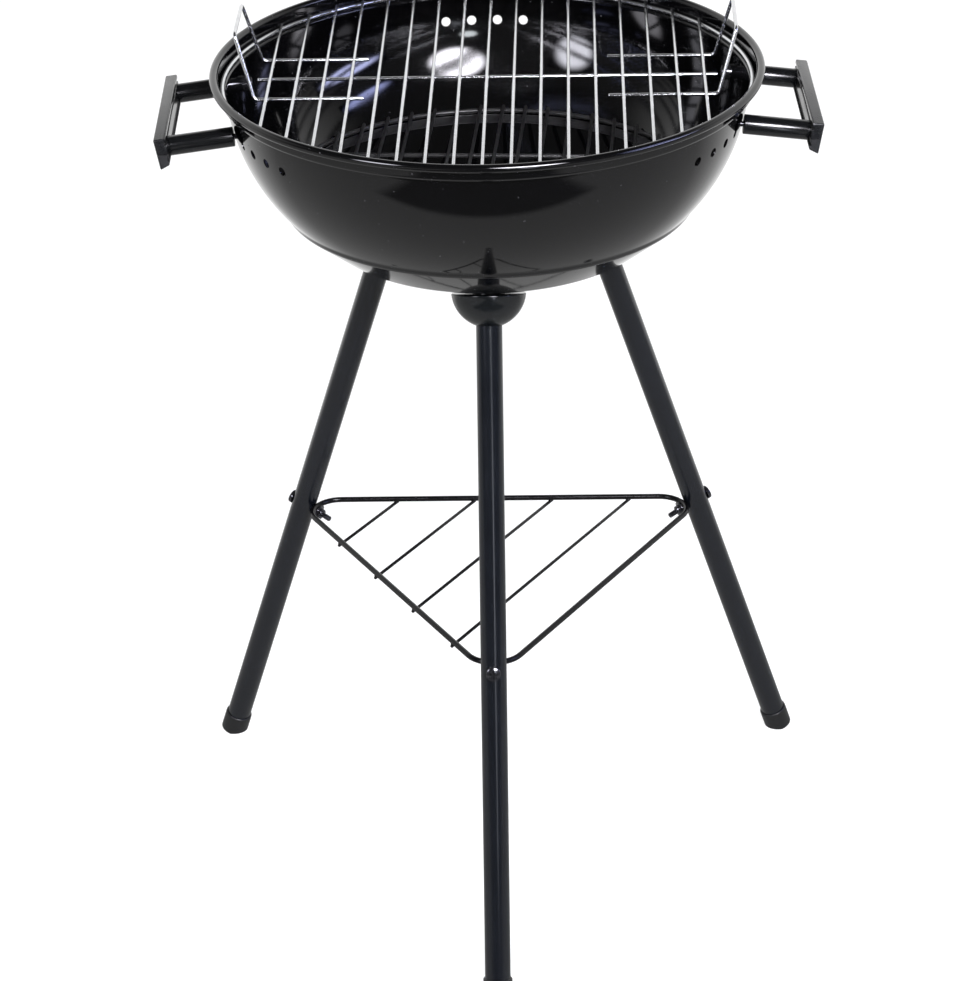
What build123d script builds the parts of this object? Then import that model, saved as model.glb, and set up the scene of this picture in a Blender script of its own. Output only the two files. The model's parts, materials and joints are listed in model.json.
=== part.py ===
from build123d import *
import os
from math import asin, cos, degrees, radians, sin, sqrt, tan, tau

# Free-standing charcoal grill: an enamelled bowl on three splayed tube legs, with a wire
# shelf between the legs, two side handles, a lift-out cooking grate and a coal grate.
# Millimetres, +Z up, floor at Z = 0, front leg towards -Y, side handles near X.
# Pieces are modelled about the bowl's axis; place_on_floor() then centres the footprint.

# Bowl sheet, from the rolled lip down to the dish
SHEET = 1.0
RIM_HEIGHT = 714.0
RIM_RADIUS = 225.0
BOWL_DEPTH = 177.2
LIP_RADIUS = 3.5
LIP_CURL = 290.0
COLLAR_DEPTH = 15.0
LEDGE_WIDTH = 6.0
WALL_ARC = 161.0
CREASE_RADIUS = 170.5
CREASE_INSET = 1.5
CREASE_DROP = 4.0
STEP_RADIUS = 132.5
DISH_ARC = 293.2
BEND_RADIUS = 2.5

# The bowl sits turned by this angle on its legs, as in the photograph
BOWL_TURN = 1.85

# Level cuts that make three nodes of the one pressing, under its ledge and under its crease
RIM_CUT_DROP = 24.0
DISH_CUT_DROP = 128.0

# Air holes through the bowl wall, in one group over each leg gap
VENT_GROUP_AZIMUTHS = (90.0, -150.0, -30.0)
VENTS_PER_GROUP = 4
VENT_DIAMETER = 8.0
VENT_STEP = 6.15
VENT_DROP = 37.6

# Legs
LEG_AZIMUTHS = {"front": -90.0, "right": 30.0, "left": 150.0}
LEG_TILT = 19.6
TUBE_DIAMETER = 21.3
TUBE_WALL = 1.2

# Half-ball sockets between the bowl and the legs
SOCKET_RADIUS = 30.5
SOCKET_INSET = 2.5
SOCKET_GAP = 0.2
SOCKET_BOSS_DIAMETER = 26.0
SOCKET_WEB = 6.0
SOCKET_EDGE = 0.8

# Leg bolts with their washers, and the threaded plugs in the tube tops
LEG_BOLT_DIAMETER = 6.0
LEG_BOLT_HEAD = 10.0
LEG_BOLT_HEAD_HEIGHT = 4.0
LEG_BOLT_GRIP = 14.0
LEG_WASHER_DIAMETER = 16.0
WASHER_THICKNESS = 1.2
PLUG_LENGTH = 18.0

# Foot caps
CAP_DIAMETER = 24.2
CAP_LENGTH = 19.5
CAP_SOLE = 6.0
CAP_LIFT = 1.0
CAP_EDGE = 0.8

# Wire shelf and the screws that hold it to the legs
SHELF_SCREW_HEIGHT = 261.7
SHELF_WIRE = 4.8
SHELF_BAR_WIRE = 2.8
SHELF_BAR_COUNT = 4
SHELF_BAR_PITCH = 60.0
SHELF_CORNER = 24.5
SHELF_OVERHANG = 3.0
SHELF_SCREW_DIAMETER = 5.0
SHELF_HEAD_DIAMETER = 12.0
SHELF_HEAD_HEIGHT = 4.0
SHELF_HEAD_EDGE = 1.6
SHELF_RECESS_LENGTH = 5.6
SHELF_RECESS_WIDTH = 1.2
SHELF_RECESS_DEPTH = 1.6
SHELF_WASHER_DIAMETER = 14.0
SHELF_NUT_WIDTH = 8.0
SHELF_NUT_HEIGHT = 4.0
SHELF_SCREW_TAIL = 8.0

# Side handles
HANDLE_DROP = 35.2
HANDLE_SLOPE = 7.25
HANDLE_SPACING = 118.3
HANDLE_TUBE_DIAMETER = 16.0
HANDLE_TUBE_WALL = 1.0
HANDLE_TUBE_LENGTH = 53.0
HANDLE_TUBE_END = 2.0
HANDLE_SEAT_POINTS = 72
HANDLE_BOLT_DIAMETER = 5.0
HANDLE_BOLT_HEAD = 10.0
HANDLE_BOLT_HEAD_HEIGHT = 3.2
HANDLE_WASHER_DIAMETER = 13.0
HANDLE_WASHER_EDGE = 0.8
GRIP_LENGTH = 147.5
GRIP_TOP = 11.7
GRIP_BOTTOM = -14.3
GRIP_INNER_BOTTOM = -11.1
GRIP_THICKNESS = 9.5
GRIP_BOTTOM_THICKNESS = 8.0
GRIP_CORNER = 1.2
GRIP_GROOVE_WIDTH = 2.4
GRIP_GROOVE_DEPTH = 1.2
GRIP_GROOVES_AT = (7.0, -7.0)
INSERT_DIAMETER = 8.0
INSERT_LENGTH = 6.5

# Cooking grate of bright wire, lying on the bowl's ledge
GRATE_RING_WIRE = 4.0
GRATE_RING_PLAY = 1.3
GRATE_BAR_WIRE = 2.8
GRATE_BAR_COUNT = 17
GRATE_BAR_PITCH = 22.0
GRATE_ROD_WIRE = 3.0
GRATE_ROD_INSET = 27.7
LIFT_WIRE = 3.0
LIFT_SPACING = 90.0
LIFT_TOP_SPACING = 72.0
LIFT_FOOT_LENGTH = 88.0
LIFT_FOOT_INSET = 28.7
LIFT_LEAN = 14.0
LIFT_HEIGHT = 52.0
LIFT_BEND = 4.5

# Coal grate of dark wire, wedged in the round of the bowl wall
COAL_RING_RADIUS = 171.5
COAL_RING_WIRE = 4.0
COAL_BAR_WIRE = 3.0
COAL_BAR_COUNT = 17
COAL_BAR_EDGE = 15.5
COAL_BAR_PITCH = 2 * (COAL_RING_RADIUS - COAL_BAR_EDGE) / (COAL_BAR_COUNT - 1)
COAL_ROD_WIRE = 4.0
COAL_ROD_SPACING = 130.0
COAL_TURN = -3.0

# Fits
BOLT_PLAY = 0.5
THREAD_PLAY = 0.15
SLIP_PLAY = 0.15
SEAT_PLAY = 0.05
REST_PLAY = 0.3
WELD = 0.4

# Places worked out from the sizes above
COLLAR_INNER = RIM_RADIUS - 2 * LIP_RADIUS
LIP_CENTRE_Z = RIM_HEIGHT - LIP_RADIUS
LEDGE_Z = RIM_HEIGHT - COLLAR_DEPTH
LEDGE_INNER = COLLAR_INNER - LEDGE_WIDTH
WALL_ARC_INNER = WALL_ARC - SHEET
WALL_CENTRE_Z = LIP_CENTRE_Z
WALL_CENTRE_R = LEDGE_INNER - sqrt(WALL_ARC_INNER**2 - (WALL_CENTRE_Z - LEDGE_Z) ** 2)
DISH_ARC_INNER = DISH_ARC - SHEET
DISH_CENTRE_Z = RIM_HEIGHT - BOWL_DEPTH + DISH_ARC
TILT = radians(LEG_TILT)
TUBE_RADIUS = TUBE_DIAMETER / 2


def along_leg(height):
    """Distance down the leg axis, from the dish to a point at this height."""
    return (DISH_CENTRE_Z - height) / cos(TILT) - DISH_ARC


LEG_TOP = SOCKET_GAP + SOCKET_WEB
CAP_END = along_leg(CAP_LIFT)
LEG_END = CAP_END - CAP_SOLE
SCREW_AT = along_leg(SHELF_SCREW_HEIGHT)
HANDLE_Z = RIM_HEIGHT - HANDLE_DROP
SLOPE = radians(HANDLE_SLOPE)
GRATE_RING_RADIUS = COLLAR_INNER - GRATE_RING_PLAY - GRATE_RING_WIRE / 2
GRATE_RING_Z = LEDGE_Z + GRATE_RING_WIRE / 2
GRATE_BAR_Z = GRATE_RING_Z + (GRATE_RING_WIRE + GRATE_BAR_WIRE) / 2 + SEAT_PLAY
LIFT_FOOT_OUT = GRATE_RING_RADIUS - LIFT_FOOT_INSET
LIFT_FOOT_IN = LIFT_FOOT_OUT - LIFT_FOOT_LENGTH
COAL_ARC = WALL_ARC_INNER - COAL_RING_WIRE / 2 - REST_PLAY
COAL_RING_Z = WALL_CENTRE_Z - sqrt(COAL_ARC**2 - (COAL_RING_RADIUS - WALL_CENTRE_R) ** 2)
COAL_BAR_Z = COAL_RING_Z + (COAL_RING_WIRE + COAL_BAR_WIRE) / 2 + SEAT_PLAY


def wall_radius(height, arc=WALL_ARC):
    """Radius of the bowl wall at a height, on the skin with this arc radius."""
    return WALL_CENTRE_R + sqrt(arc**2 - (WALL_CENTRE_Z - height) ** 2)


def leg_frame(azimuth):
    """Place on a leg axis where it leaves the dish: +Z down the leg, +X away from the bowl."""
    start = (DISH_ARC * sin(TILT), 0, DISH_CENTRE_Z - DISH_ARC * cos(TILT))
    plane = Plane(start, x_dir=(cos(TILT), 0, sin(TILT)), z_dir=(sin(TILT), 0, -cos(TILT)))
    return Rot(0, 0, azimuth) * plane.location


def handle_frame(side, offset):
    """Place on a handle bolt at the bowl wall: +Z out along the bolt, +X up."""
    reach = sqrt(wall_radius(HANDLE_Z) ** 2 - (HANDLE_SPACING / 2) ** 2)
    plane = Plane(
        (reach, offset, HANDLE_Z),
        x_dir=(sin(SLOPE), 0, cos(SLOPE)),
        z_dir=(cos(SLOPE), 0, -sin(SLOPE)),
    )
    return Rot(0, 0, BOWL_TURN + {"right": 0, "left": 180}[side]) * plane.location


def tube(diameter, wall, start, end):
    """Round tube along Z."""
    section = Circle(diameter / 2) - Circle(diameter / 2 - wall)
    return extrude(Pos(0, 0, start) * section, end - start)


def rod(radius, start, end):
    """Round rod along Z."""
    return extrude(Pos(0, 0, start) * Circle(radius), end - start)


def wire_along(path, diameter):
    """Round wire bent along a path."""
    return sweep(Plane(path @ 0, z_dir=path % 0) * Circle(diameter / 2), path=path)


def straight_wire(start, end, diameter):
    """Straight round wire between two points."""
    return wire_along(Line(start, end), diameter)


def hex_prism(width, start, end):
    """Hexagon of this width across its flats, along Z."""
    section = RegularPolygon(width / 2, 6, major_radius=False)
    return extrude(Pos(0, 0, start) * section, end - start)


# Bowl
def bowl_section():
    """Section of the sheet, from the axis out to the end of the rolled lip."""
    dish_turn = degrees(asin(STEP_RADIUS / DISH_ARC_INNER))
    dish = CenterArc((0, DISH_CENTRE_Z), DISH_ARC_INNER, -90, dish_turn)
    wall_top = -degrees(asin((WALL_CENTRE_Z - LEDGE_Z) / WALL_ARC_INNER))
    wall_low = -90 + degrees(asin((CREASE_RADIUS - WALL_CENTRE_R) / WALL_ARC_INNER))
    wall = CenterArc((WALL_CENTRE_R, WALL_CENTRE_Z), WALL_ARC_INNER, wall_low, wall_top - wall_low)
    crease = Line(wall @ 0 - Vector(CREASE_INSET, CREASE_DROP), wall @ 0)
    step = Line(dish @ 1, crease @ 0)
    ledge = Line(wall @ 1, (COLLAR_INNER, LEDGE_Z))
    collar = Line(ledge @ 1, (COLLAR_INNER, LIP_CENTRE_Z))
    lip = CenterArc((COLLAR_INNER + LIP_RADIUS, LIP_CENTRE_Z), LIP_RADIUS, 180, -LIP_CURL)
    skin = Wire([dish, step, crease, wall, ledge, collar, lip])
    for corner in (dish @ 1, crease @ 0, wall @ 0, wall @ 1, ledge @ 1):
        skin = skin.fillet_2d(BEND_RADIUS, [skin.vertices().sort_by_distance(corner)[0]])
    return make_face(offset(skin, SHEET, side=Side.RIGHT))


def vent_cutters():
    """Round cutters square to the bowl wall, one for each air hole."""
    drop = degrees(asin((WALL_CENTRE_Z - RIM_HEIGHT + VENT_DROP) / WALL_ARC))
    cutter = rod(VENT_DIAMETER / 2, WALL_ARC - 2 * BEND_RADIUS, WALL_ARC + 2 * BEND_RADIUS)
    aimed = Pos(WALL_CENTRE_R, 0, WALL_CENTRE_Z) * Rot(0, 90 + drop, 0) * cutter
    first = -VENT_STEP * (VENTS_PER_GROUP - 1) / 2
    return [
        Rot(0, 0, BOWL_TURN + group + first + VENT_STEP * index) * aimed
        for group in VENT_GROUP_AZIMUTHS
        for index in range(VENTS_PER_GROUP)
    ]


def make_bowl():
    """Pressed and enamelled bowl with its air holes and bolt holes."""
    shell = revolve(Plane.XZ * bowl_section(), Axis.Z)
    leg_hole = rod((LEG_BOLT_DIAMETER + BOLT_PLAY) / 2, -SOCKET_RADIUS, SOCKET_RADIUS)
    handle_hole = rod((HANDLE_BOLT_DIAMETER + BOLT_PLAY) / 2, -SOCKET_RADIUS, SOCKET_RADIUS)
    holes = vent_cutters()
    holes += [leg_frame(azimuth) * leg_hole for azimuth in LEG_AZIMUTHS.values()]
    holes += [place * handle_hole for place in handle_bolt_places()]
    return shell - holes


def divide_bowl(bowl):
    """Dish, wall and rim of the bowl, between two level cuts."""
    under_rim = Plane.XY.offset(RIM_HEIGHT - RIM_CUT_DROP)
    over_dish = Plane.XY.offset(RIM_HEIGHT - DISH_CUT_DROP)
    lower = split(bowl, under_rim, keep=Keep.BOTTOM)
    return {
        "bowl_dish": split(lower, over_dish, keep=Keep.BOTTOM),
        "bowl_wall": split(lower, over_dish, keep=Keep.TOP),
        "bowl_rim": split(bowl, under_rim, keep=Keep.TOP),
    }


def wall_core(arc):
    """Solid that fills the bowl wall out to the skin with this arc radius."""
    low = CREASE_RADIUS - WALL_CENTRE_R
    bottom = WALL_CENTRE_Z - sqrt(arc**2 - low**2)
    outline = CenterArc(
        (WALL_CENTRE_R, WALL_CENTRE_Z), arc, -90 + degrees(asin(low / arc)), 90 - degrees(asin(low / arc))
    )
    closing = Polyline(outline @ 1, (0, WALL_CENTRE_Z), (0, bottom), outline @ 0)
    return revolve(Plane.XZ * make_face([*outline.edges(), *closing.edges()]), Axis.Z)


# Legs
def make_leg_socket():
    """Half ball with a boss shaped to the dish and a bore for the leg tube."""
    ball = Pos(0, 0, SOCKET_GAP - SOCKET_INSET) * Sphere(SOCKET_RADIUS)
    half = split(ball, Plane.XY.offset(SOCKET_GAP), keep=Keep.TOP)
    half = fillet(half.edges().group_by(Axis.Z)[0], SOCKET_EDGE)
    boss = rod(SOCKET_BOSS_DIAMETER / 2, -SOCKET_GAP, LEG_TOP)
    boss -= Pos(0, 0, -DISH_ARC) * Sphere(DISH_ARC + SEAT_PLAY)
    bore = rod(TUBE_RADIUS + SLIP_PLAY, LEG_TOP, 2 * SOCKET_RADIUS)
    bolt_hole = rod((LEG_BOLT_DIAMETER + BOLT_PLAY) / 2, -SOCKET_RADIUS, 2 * SOCKET_RADIUS)
    return half + boss - bore - bolt_hole


def make_leg():
    """Leg tube with its cross hole for the shelf screw."""
    hole = rod((SHELF_SCREW_DIAMETER + BOLT_PLAY) / 2, -TUBE_DIAMETER, TUBE_DIAMETER)
    across = Pos(0, 0, SCREW_AT) * Rot(0, 90, 0) * hole
    return tube(TUBE_DIAMETER, TUBE_WALL, LEG_TOP, LEG_END) - across


def make_leg_plug():
    """Threaded plug pressed into the top of a leg tube."""
    body = rod(TUBE_RADIUS - TUBE_WALL - SEAT_PLAY, LEG_TOP, LEG_TOP + PLUG_LENGTH)
    return body - rod(LEG_BOLT_DIAMETER / 2 + THREAD_PLAY, 0, 2 * LEG_TOP + PLUG_LENGTH)


def leg_washer_seat():
    """Place along the leg axis where a flat washer meets the hollow of the dish."""
    sag = DISH_ARC_INNER - sqrt(DISH_ARC_INNER**2 - (LEG_WASHER_DIAMETER / 2) ** 2)
    return -SHEET - sag - SEAT_PLAY


def make_leg_washer():
    """Flat washer inside the bowl."""
    seat = leg_washer_seat()
    wall = (LEG_WASHER_DIAMETER - LEG_BOLT_DIAMETER - BOLT_PLAY) / 2
    return tube(LEG_WASHER_DIAMETER, wall, seat - WASHER_THICKNESS, seat)


def make_leg_bolt():
    """Hexagon bolt from inside the bowl into the plug of a leg."""
    under_head = leg_washer_seat() - WASHER_THICKNESS
    head = hex_prism(LEG_BOLT_HEAD, under_head - LEG_BOLT_HEAD_HEIGHT, under_head)
    return head + rod(LEG_BOLT_DIAMETER / 2, under_head, LEG_TOP + LEG_BOLT_GRIP)


def make_foot_cap(azimuth):
    """Moulded cap over the end of a leg, cut flat where it stands on the floor."""
    body = rod(CAP_DIAMETER / 2, CAP_END - CAP_LENGTH, CAP_END)
    body = fillet(body.edges().group_by(Axis.Z)[0], CAP_EDGE)
    body -= rod(TUBE_RADIUS + SLIP_PLAY, CAP_END - 2 * CAP_LENGTH, LEG_END)
    return split(leg_frame(azimuth) * body, Plane.XY, keep=Keep.TOP)


# Shelf
def shelf_washer_at():
    """Distance from a leg axis to the washer that traps the shelf wire on the screw."""
    wire_over_screw = (SHELF_SCREW_DIAMETER + SHELF_WIRE) / 2
    half_chord = sqrt((SHELF_WASHER_DIAMETER / 2) ** 2 - wire_over_screw**2)
    inside = SHELF_CORNER - SHELF_WIRE / 2
    bulge = inside - sqrt(inside**2 - half_chord**2)
    return TUBE_RADIUS + SHELF_WIRE + bulge + SEAT_PLAY


def on_screw(solid):
    """Turn a piece made along Z so that +Z points in along a shelf screw from the leg axis."""
    return Pos(0, 0, SCREW_AT) * Rot(0, -90, 0) * solid


def make_shelf_screw():
    """Round-headed screw, head outside the leg and thread inside."""
    head = rod(SHELF_HEAD_DIAMETER / 2, -TUBE_RADIUS - SHELF_HEAD_HEIGHT, -TUBE_RADIUS)
    head = fillet(head.edges().group_by(Axis.Z)[0], SHELF_HEAD_EDGE)
    slot = Box(SHELF_RECESS_LENGTH, SHELF_RECESS_WIDTH, 2 * SHELF_RECESS_DEPTH)
    recess = Pos(0, 0, -TUBE_RADIUS - SHELF_HEAD_HEIGHT) * (slot + Rot(0, 0, 90) * slot)
    end = shelf_washer_at() + WASHER_THICKNESS + SHELF_NUT_HEIGHT + SHELF_SCREW_TAIL
    return on_screw(head - recess + rod(SHELF_SCREW_DIAMETER / 2, -TUBE_RADIUS, end))


def make_shelf_washer():
    """Washer between the shelf wire and the nut."""
    wall = (SHELF_WASHER_DIAMETER - SHELF_SCREW_DIAMETER - BOLT_PLAY) / 2
    start = shelf_washer_at()
    return on_screw(tube(SHELF_WASHER_DIAMETER, wall, start, start + WASHER_THICKNESS))


def make_shelf_nut():
    """Hexagon nut on a shelf screw."""
    start = shelf_washer_at() + WASHER_THICKNESS
    body = hex_prism(SHELF_NUT_WIDTH, start, start + SHELF_NUT_HEIGHT)
    return on_screw(body - rod(SHELF_SCREW_DIAMETER / 2 + THREAD_PLAY, 0, 2 * start))


def make_wire_shelf():
    """Rounded triangle of wire over the three screws, with thinner bars welded under it."""
    along = DISH_ARC + SCREW_AT - (SHELF_SCREW_DIAMETER + SHELF_WIRE) / 2 - SEAT_PLAY
    inward = TUBE_RADIUS + SHELF_WIRE / 2 + SEAT_PLAY
    apex = along * sin(TILT) - inward * cos(TILT)
    height = DISH_CENTRE_Z - along * cos(TILT) - inward * sin(TILT)
    corner = Vector(apex + SHELF_CORNER, 0, height)
    front, right, left = [corner.rotate(Axis.Z, azimuth) for azimuth in LEG_AZIMUTHS.values()]
    frame = wire_along(FilletPolyline(left, front, right, radius=SHELF_CORNER, close=True), SHELF_WIRE)
    under = Vector(0, 0, WELD - (SHELF_WIRE + SHELF_BAR_WIRE) / 2)
    reach = (right - front).normalized() * SHELF_OVERHANG
    bars = []
    depth = (left - (front + right) / 2).length
    for index in range(1, SHELF_BAR_COUNT + 1):
        share = 1 - index * SHELF_BAR_PITCH / depth
        start = left + (front - left) * share + under - reach
        end = left + (right - left) * share + under + reach
        bars.append(straight_wire(start, end, SHELF_BAR_WIRE))
    return frame + bars


# Side handles
def handle_bolt_places():
    """Frames of the four handle bolts."""
    half = HANDLE_SPACING / 2
    return [handle_frame(side, offset) for side in ("right", "left") for offset in (-half, half)]


def handle_tube_start():
    """Distance out along a bolt at which the square end of a handle tube meets the wall."""
    radius = HANDLE_TUBE_DIAMETER / 2
    reach = sqrt(wall_radius(HANDLE_Z) ** 2 - (HANDLE_SPACING / 2) ** 2)
    shifts = []
    for index in range(HANDLE_SEAT_POINTS):
        turn = tau * index / HANDLE_SEAT_POINTS
        up = radius * cos(turn)
        across = HANDLE_SPACING / 2 + radius * sin(turn)
        wall = sqrt(wall_radius(HANDLE_Z + up * cos(SLOPE)) ** 2 - across**2)
        shifts.append((wall - reach - up * sin(SLOPE)) / cos(SLOPE))
    return max(shifts) + SEAT_PLAY


TUBE_START = handle_tube_start()
GRIP_START = TUBE_START + HANDLE_TUBE_LENGTH


def make_handle_tube():
    """Handle tube, closed towards the bowl but for its bolt hole."""
    hollow = tube(HANDLE_TUBE_DIAMETER, HANDLE_TUBE_WALL, TUBE_START, GRIP_START)
    wall = (HANDLE_TUBE_DIAMETER - HANDLE_BOLT_DIAMETER - BOLT_PLAY) / 2
    return hollow + tube(HANDLE_TUBE_DIAMETER, wall, TUBE_START, TUBE_START + HANDLE_TUBE_END)


def make_grip():
    """Moulded grip bar with grooves along its inner face and sockets for two inserts."""
    section = Polyline(
        (GRIP_TOP, GRIP_START),
        (GRIP_TOP, GRIP_START + GRIP_THICKNESS),
        (GRIP_BOTTOM, GRIP_START + GRIP_BOTTOM_THICKNESS),
        (GRIP_INNER_BOTTOM, GRIP_START),
        close=True,
    )
    profile = fillet(make_face(section).vertices(), GRIP_CORNER)
    groove = Rectangle(GRIP_GROOVE_WIDTH, 2 * GRIP_GROOVE_DEPTH)
    profile -= [Pos(height, GRIP_START) * groove for height in GRIP_GROOVES_AT]
    bar = extrude(Plane.XZ * profile, GRIP_LENGTH / 2, both=True)
    socket = rod((INSERT_DIAMETER + SLIP_PLAY) / 2, 0, GRIP_START + INSERT_LENGTH)
    half = HANDLE_SPACING / 2
    return bar - [Pos(0, half, 0) * socket, Pos(0, -half, 0) * socket]


def make_grip_insert():
    """Threaded insert in a grip."""
    wall = (INSERT_DIAMETER - HANDLE_BOLT_DIAMETER) / 2 - THREAD_PLAY
    return tube(INSERT_DIAMETER, wall, GRIP_START, GRIP_START + INSERT_LENGTH - SEAT_PLAY)


def handle_washer_depth():
    """Depth inside the wall of the flat side of a handle washer."""
    slant = tan(asin(HANDLE_SPACING / 2 / wall_radius(HANDLE_Z)))
    return 2 * SHEET + slant * HANDLE_WASHER_DIAMETER / 2 + HANDLE_WASHER_EDGE


def make_handle_washer(place):
    """Bevelled washer between the round of the wall and a flat bolt head."""
    depth = handle_washer_depth()
    wall = (HANDLE_WASHER_DIAMETER - HANDLE_BOLT_DIAMETER - BOLT_PLAY) / 2
    return place * tube(HANDLE_WASHER_DIAMETER, wall, -depth, depth) & wall_core(WALL_ARC_INNER - SEAT_PLAY)


def make_handle_bolt():
    """Round-headed bolt from inside the bowl, through a handle tube into a grip."""
    depth = handle_washer_depth()
    head = rod(HANDLE_BOLT_HEAD / 2, -depth - HANDLE_BOLT_HEAD_HEIGHT, -depth)
    head = fillet(head.edges().group_by(Axis.Z)[0], HANDLE_BOLT_HEAD_HEIGHT / 2)
    return head + rod(HANDLE_BOLT_DIAMETER / 2, -depth, GRIP_START + INSERT_LENGTH - 2 * SEAT_PLAY)


# Grates
def wire_bars(reach, height, diameter, count, pitch):
    """Parallel straight wires along Y, ending on a circle of this reach."""
    bars = []
    for index in range(count):
        across = (index - (count - 1) / 2) * pitch
        half = sqrt(reach**2 - across**2)
        bars.append(straight_wire((across, -half, height), (across, half, height), diameter))
    return Compound(bars)


def make_grate_ring():
    """Ring of the cooking grate, lying on the ledge."""
    return Pos(0, 0, GRATE_RING_Z) * Torus(GRATE_RING_RADIUS, GRATE_RING_WIRE / 2)


def make_grate_bars():
    """Bars of the cooking grate, welded across the top of its ring."""
    reach = GRATE_RING_RADIUS + GRATE_RING_WIRE / 2 - WELD
    return wire_bars(reach, GRATE_BAR_Z, GRATE_BAR_WIRE, GRATE_BAR_COUNT, GRATE_BAR_PITCH)


def make_grate_rod():
    """Rod welded across under the bars of the cooking grate."""
    height = GRATE_BAR_Z - (GRATE_BAR_WIRE + GRATE_ROD_WIRE) / 2 - SEAT_PLAY
    half = GRATE_RING_RADIUS - GRATE_ROD_INSET
    return straight_wire((-half, 0, height), (half, 0, height), GRATE_ROD_WIRE)


def make_grate_handle():
    """Bent wire handle whose feet lie under the outer bars of the cooking grate."""
    low = GRATE_BAR_Z - (GRATE_BAR_WIRE + LIFT_WIRE) / 2 - SEAT_PLAY
    half = LIFT_SPACING / 2
    top = (LIFT_FOOT_OUT + LIFT_LEAN, LIFT_TOP_SPACING / 2, low + LIFT_HEIGHT)
    path = FilletPolyline(
        (LIFT_FOOT_IN, half, low),
        (LIFT_FOOT_OUT, half, low),
        top,
        (top[0], -top[1], top[2]),
        (LIFT_FOOT_OUT, -half, low),
        (LIFT_FOOT_IN, -half, low),
        radius=LIFT_BEND,
    )
    return wire_along(path, LIFT_WIRE)


def make_coal_ring():
    """Ring of the coal grate, resting in the round of the bowl wall."""
    return Pos(0, 0, COAL_RING_Z) * Torus(COAL_RING_RADIUS, COAL_RING_WIRE / 2)


def make_coal_bars():
    """Bars of the coal grate, welded across the top of its ring."""
    reach = COAL_RING_RADIUS + COAL_RING_WIRE / 2 - WELD
    return Rot(0, 0, COAL_TURN) * wire_bars(reach, COAL_BAR_Z, COAL_BAR_WIRE, COAL_BAR_COUNT, COAL_BAR_PITCH)


def make_coal_rods():
    """Two rods inside the ring of the coal grate, welded under its bars."""
    height = COAL_BAR_Z - (COAL_BAR_WIRE + COAL_ROD_WIRE) / 2 - SEAT_PLAY
    across = COAL_ROD_SPACING / 2
    inside = COAL_RING_RADIUS - COAL_RING_WIRE / 2 - SEAT_PLAY
    reach = sqrt(inside**2 - (across + COAL_ROD_WIRE / 2) ** 2)
    rods = [straight_wire((-reach, y, height), (reach, y, height), COAL_ROD_WIRE) for y in (-across, across)]
    return Rot(0, 0, COAL_TURN) * Compound(rods)


# Assembly
def make_parts():
    """Every piece of the grill by name, about the axis of the bowl."""
    legs = {name: leg_frame(azimuth) for name, azimuth in LEG_AZIMUTHS.items()}
    bolts = handle_bolt_places()
    half = HANDLE_SPACING / 2
    parts = divide_bowl(make_bowl())
    for name, place in legs.items():
        parts[f"leg_socket_{name}"] = place * make_leg_socket()
        parts[f"leg_{name}"] = place * make_leg()
        parts[f"foot_cap_{name}"] = make_foot_cap(LEG_AZIMUTHS[name])
    for node, piece in {
        "leg_plugs": make_leg_plug(),
        "leg_washers": make_leg_washer(),
        "leg_bolts": make_leg_bolt(),
        "shelf_screws": make_shelf_screw(),
        "shelf_washers": make_shelf_washer(),
        "shelf_nuts": make_shelf_nut(),
    }.items():
        parts[node] = Compound([place * piece for place in legs.values()])
    parts["wire_shelf"] = make_wire_shelf()
    for side in ("left", "right"):
        parts[f"grip_{side}"] = handle_frame(side, 0) * make_grip()
        for end, offset in {"front": -half, "rear": half}.items():
            across = offset if side == "right" else -offset
            parts[f"handle_tube_{side}_{end}"] = handle_frame(side, across) * make_handle_tube()
    parts["grip_inserts"] = Compound([place * make_grip_insert() for place in bolts])
    parts["handle_washers"] = Compound([make_handle_washer(place) for place in bolts])
    parts["handle_bolts"] = Compound([place * make_handle_bolt() for place in bolts])
    parts["grate_ring"] = make_grate_ring()
    parts["grate_bars"] = make_grate_bars()
    parts["grate_rod"] = make_grate_rod()
    parts["grate_handle_right"] = make_grate_handle()
    parts["grate_handle_left"] = Rot(0, 0, 180) * make_grate_handle()
    parts["coal_ring"] = make_coal_ring()
    parts["coal_bars"] = make_coal_bars()
    parts["coal_rods"] = make_coal_rods()
    return parts


def place_on_floor(parts):
    """Centre the footprint of the whole grill on the origin, with the floor at Z = 0."""
    box = Compound(list(parts.values())).bounding_box()
    shift = Pos(-box.center().X, -box.center().Y, -box.min.Z)
    return {name: shift * solid for name, solid in parts.items()}


os.makedirs("parts", exist_ok=True)
for name, solid in place_on_floor(make_parts()).items():
    export_step(solid, f"parts/{name}.step")
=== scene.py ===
"""Looks of a free-standing charcoal grill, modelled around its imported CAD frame."""

import json
import logging
from dataclasses import dataclass, field
from enum import Enum
from math import asin, cos, degrees, pi, radians, sin, sqrt, tan
from typing import Iterable, Optional, Sequence, Union

import bmesh
import bpy
from bmesh.types import BMEdge, BMesh, BMVert
from bpy.types import Material, Node, NodeSocket, NodeTree, Object
from mathutils import Matrix, Quaternion, Vector

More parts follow.
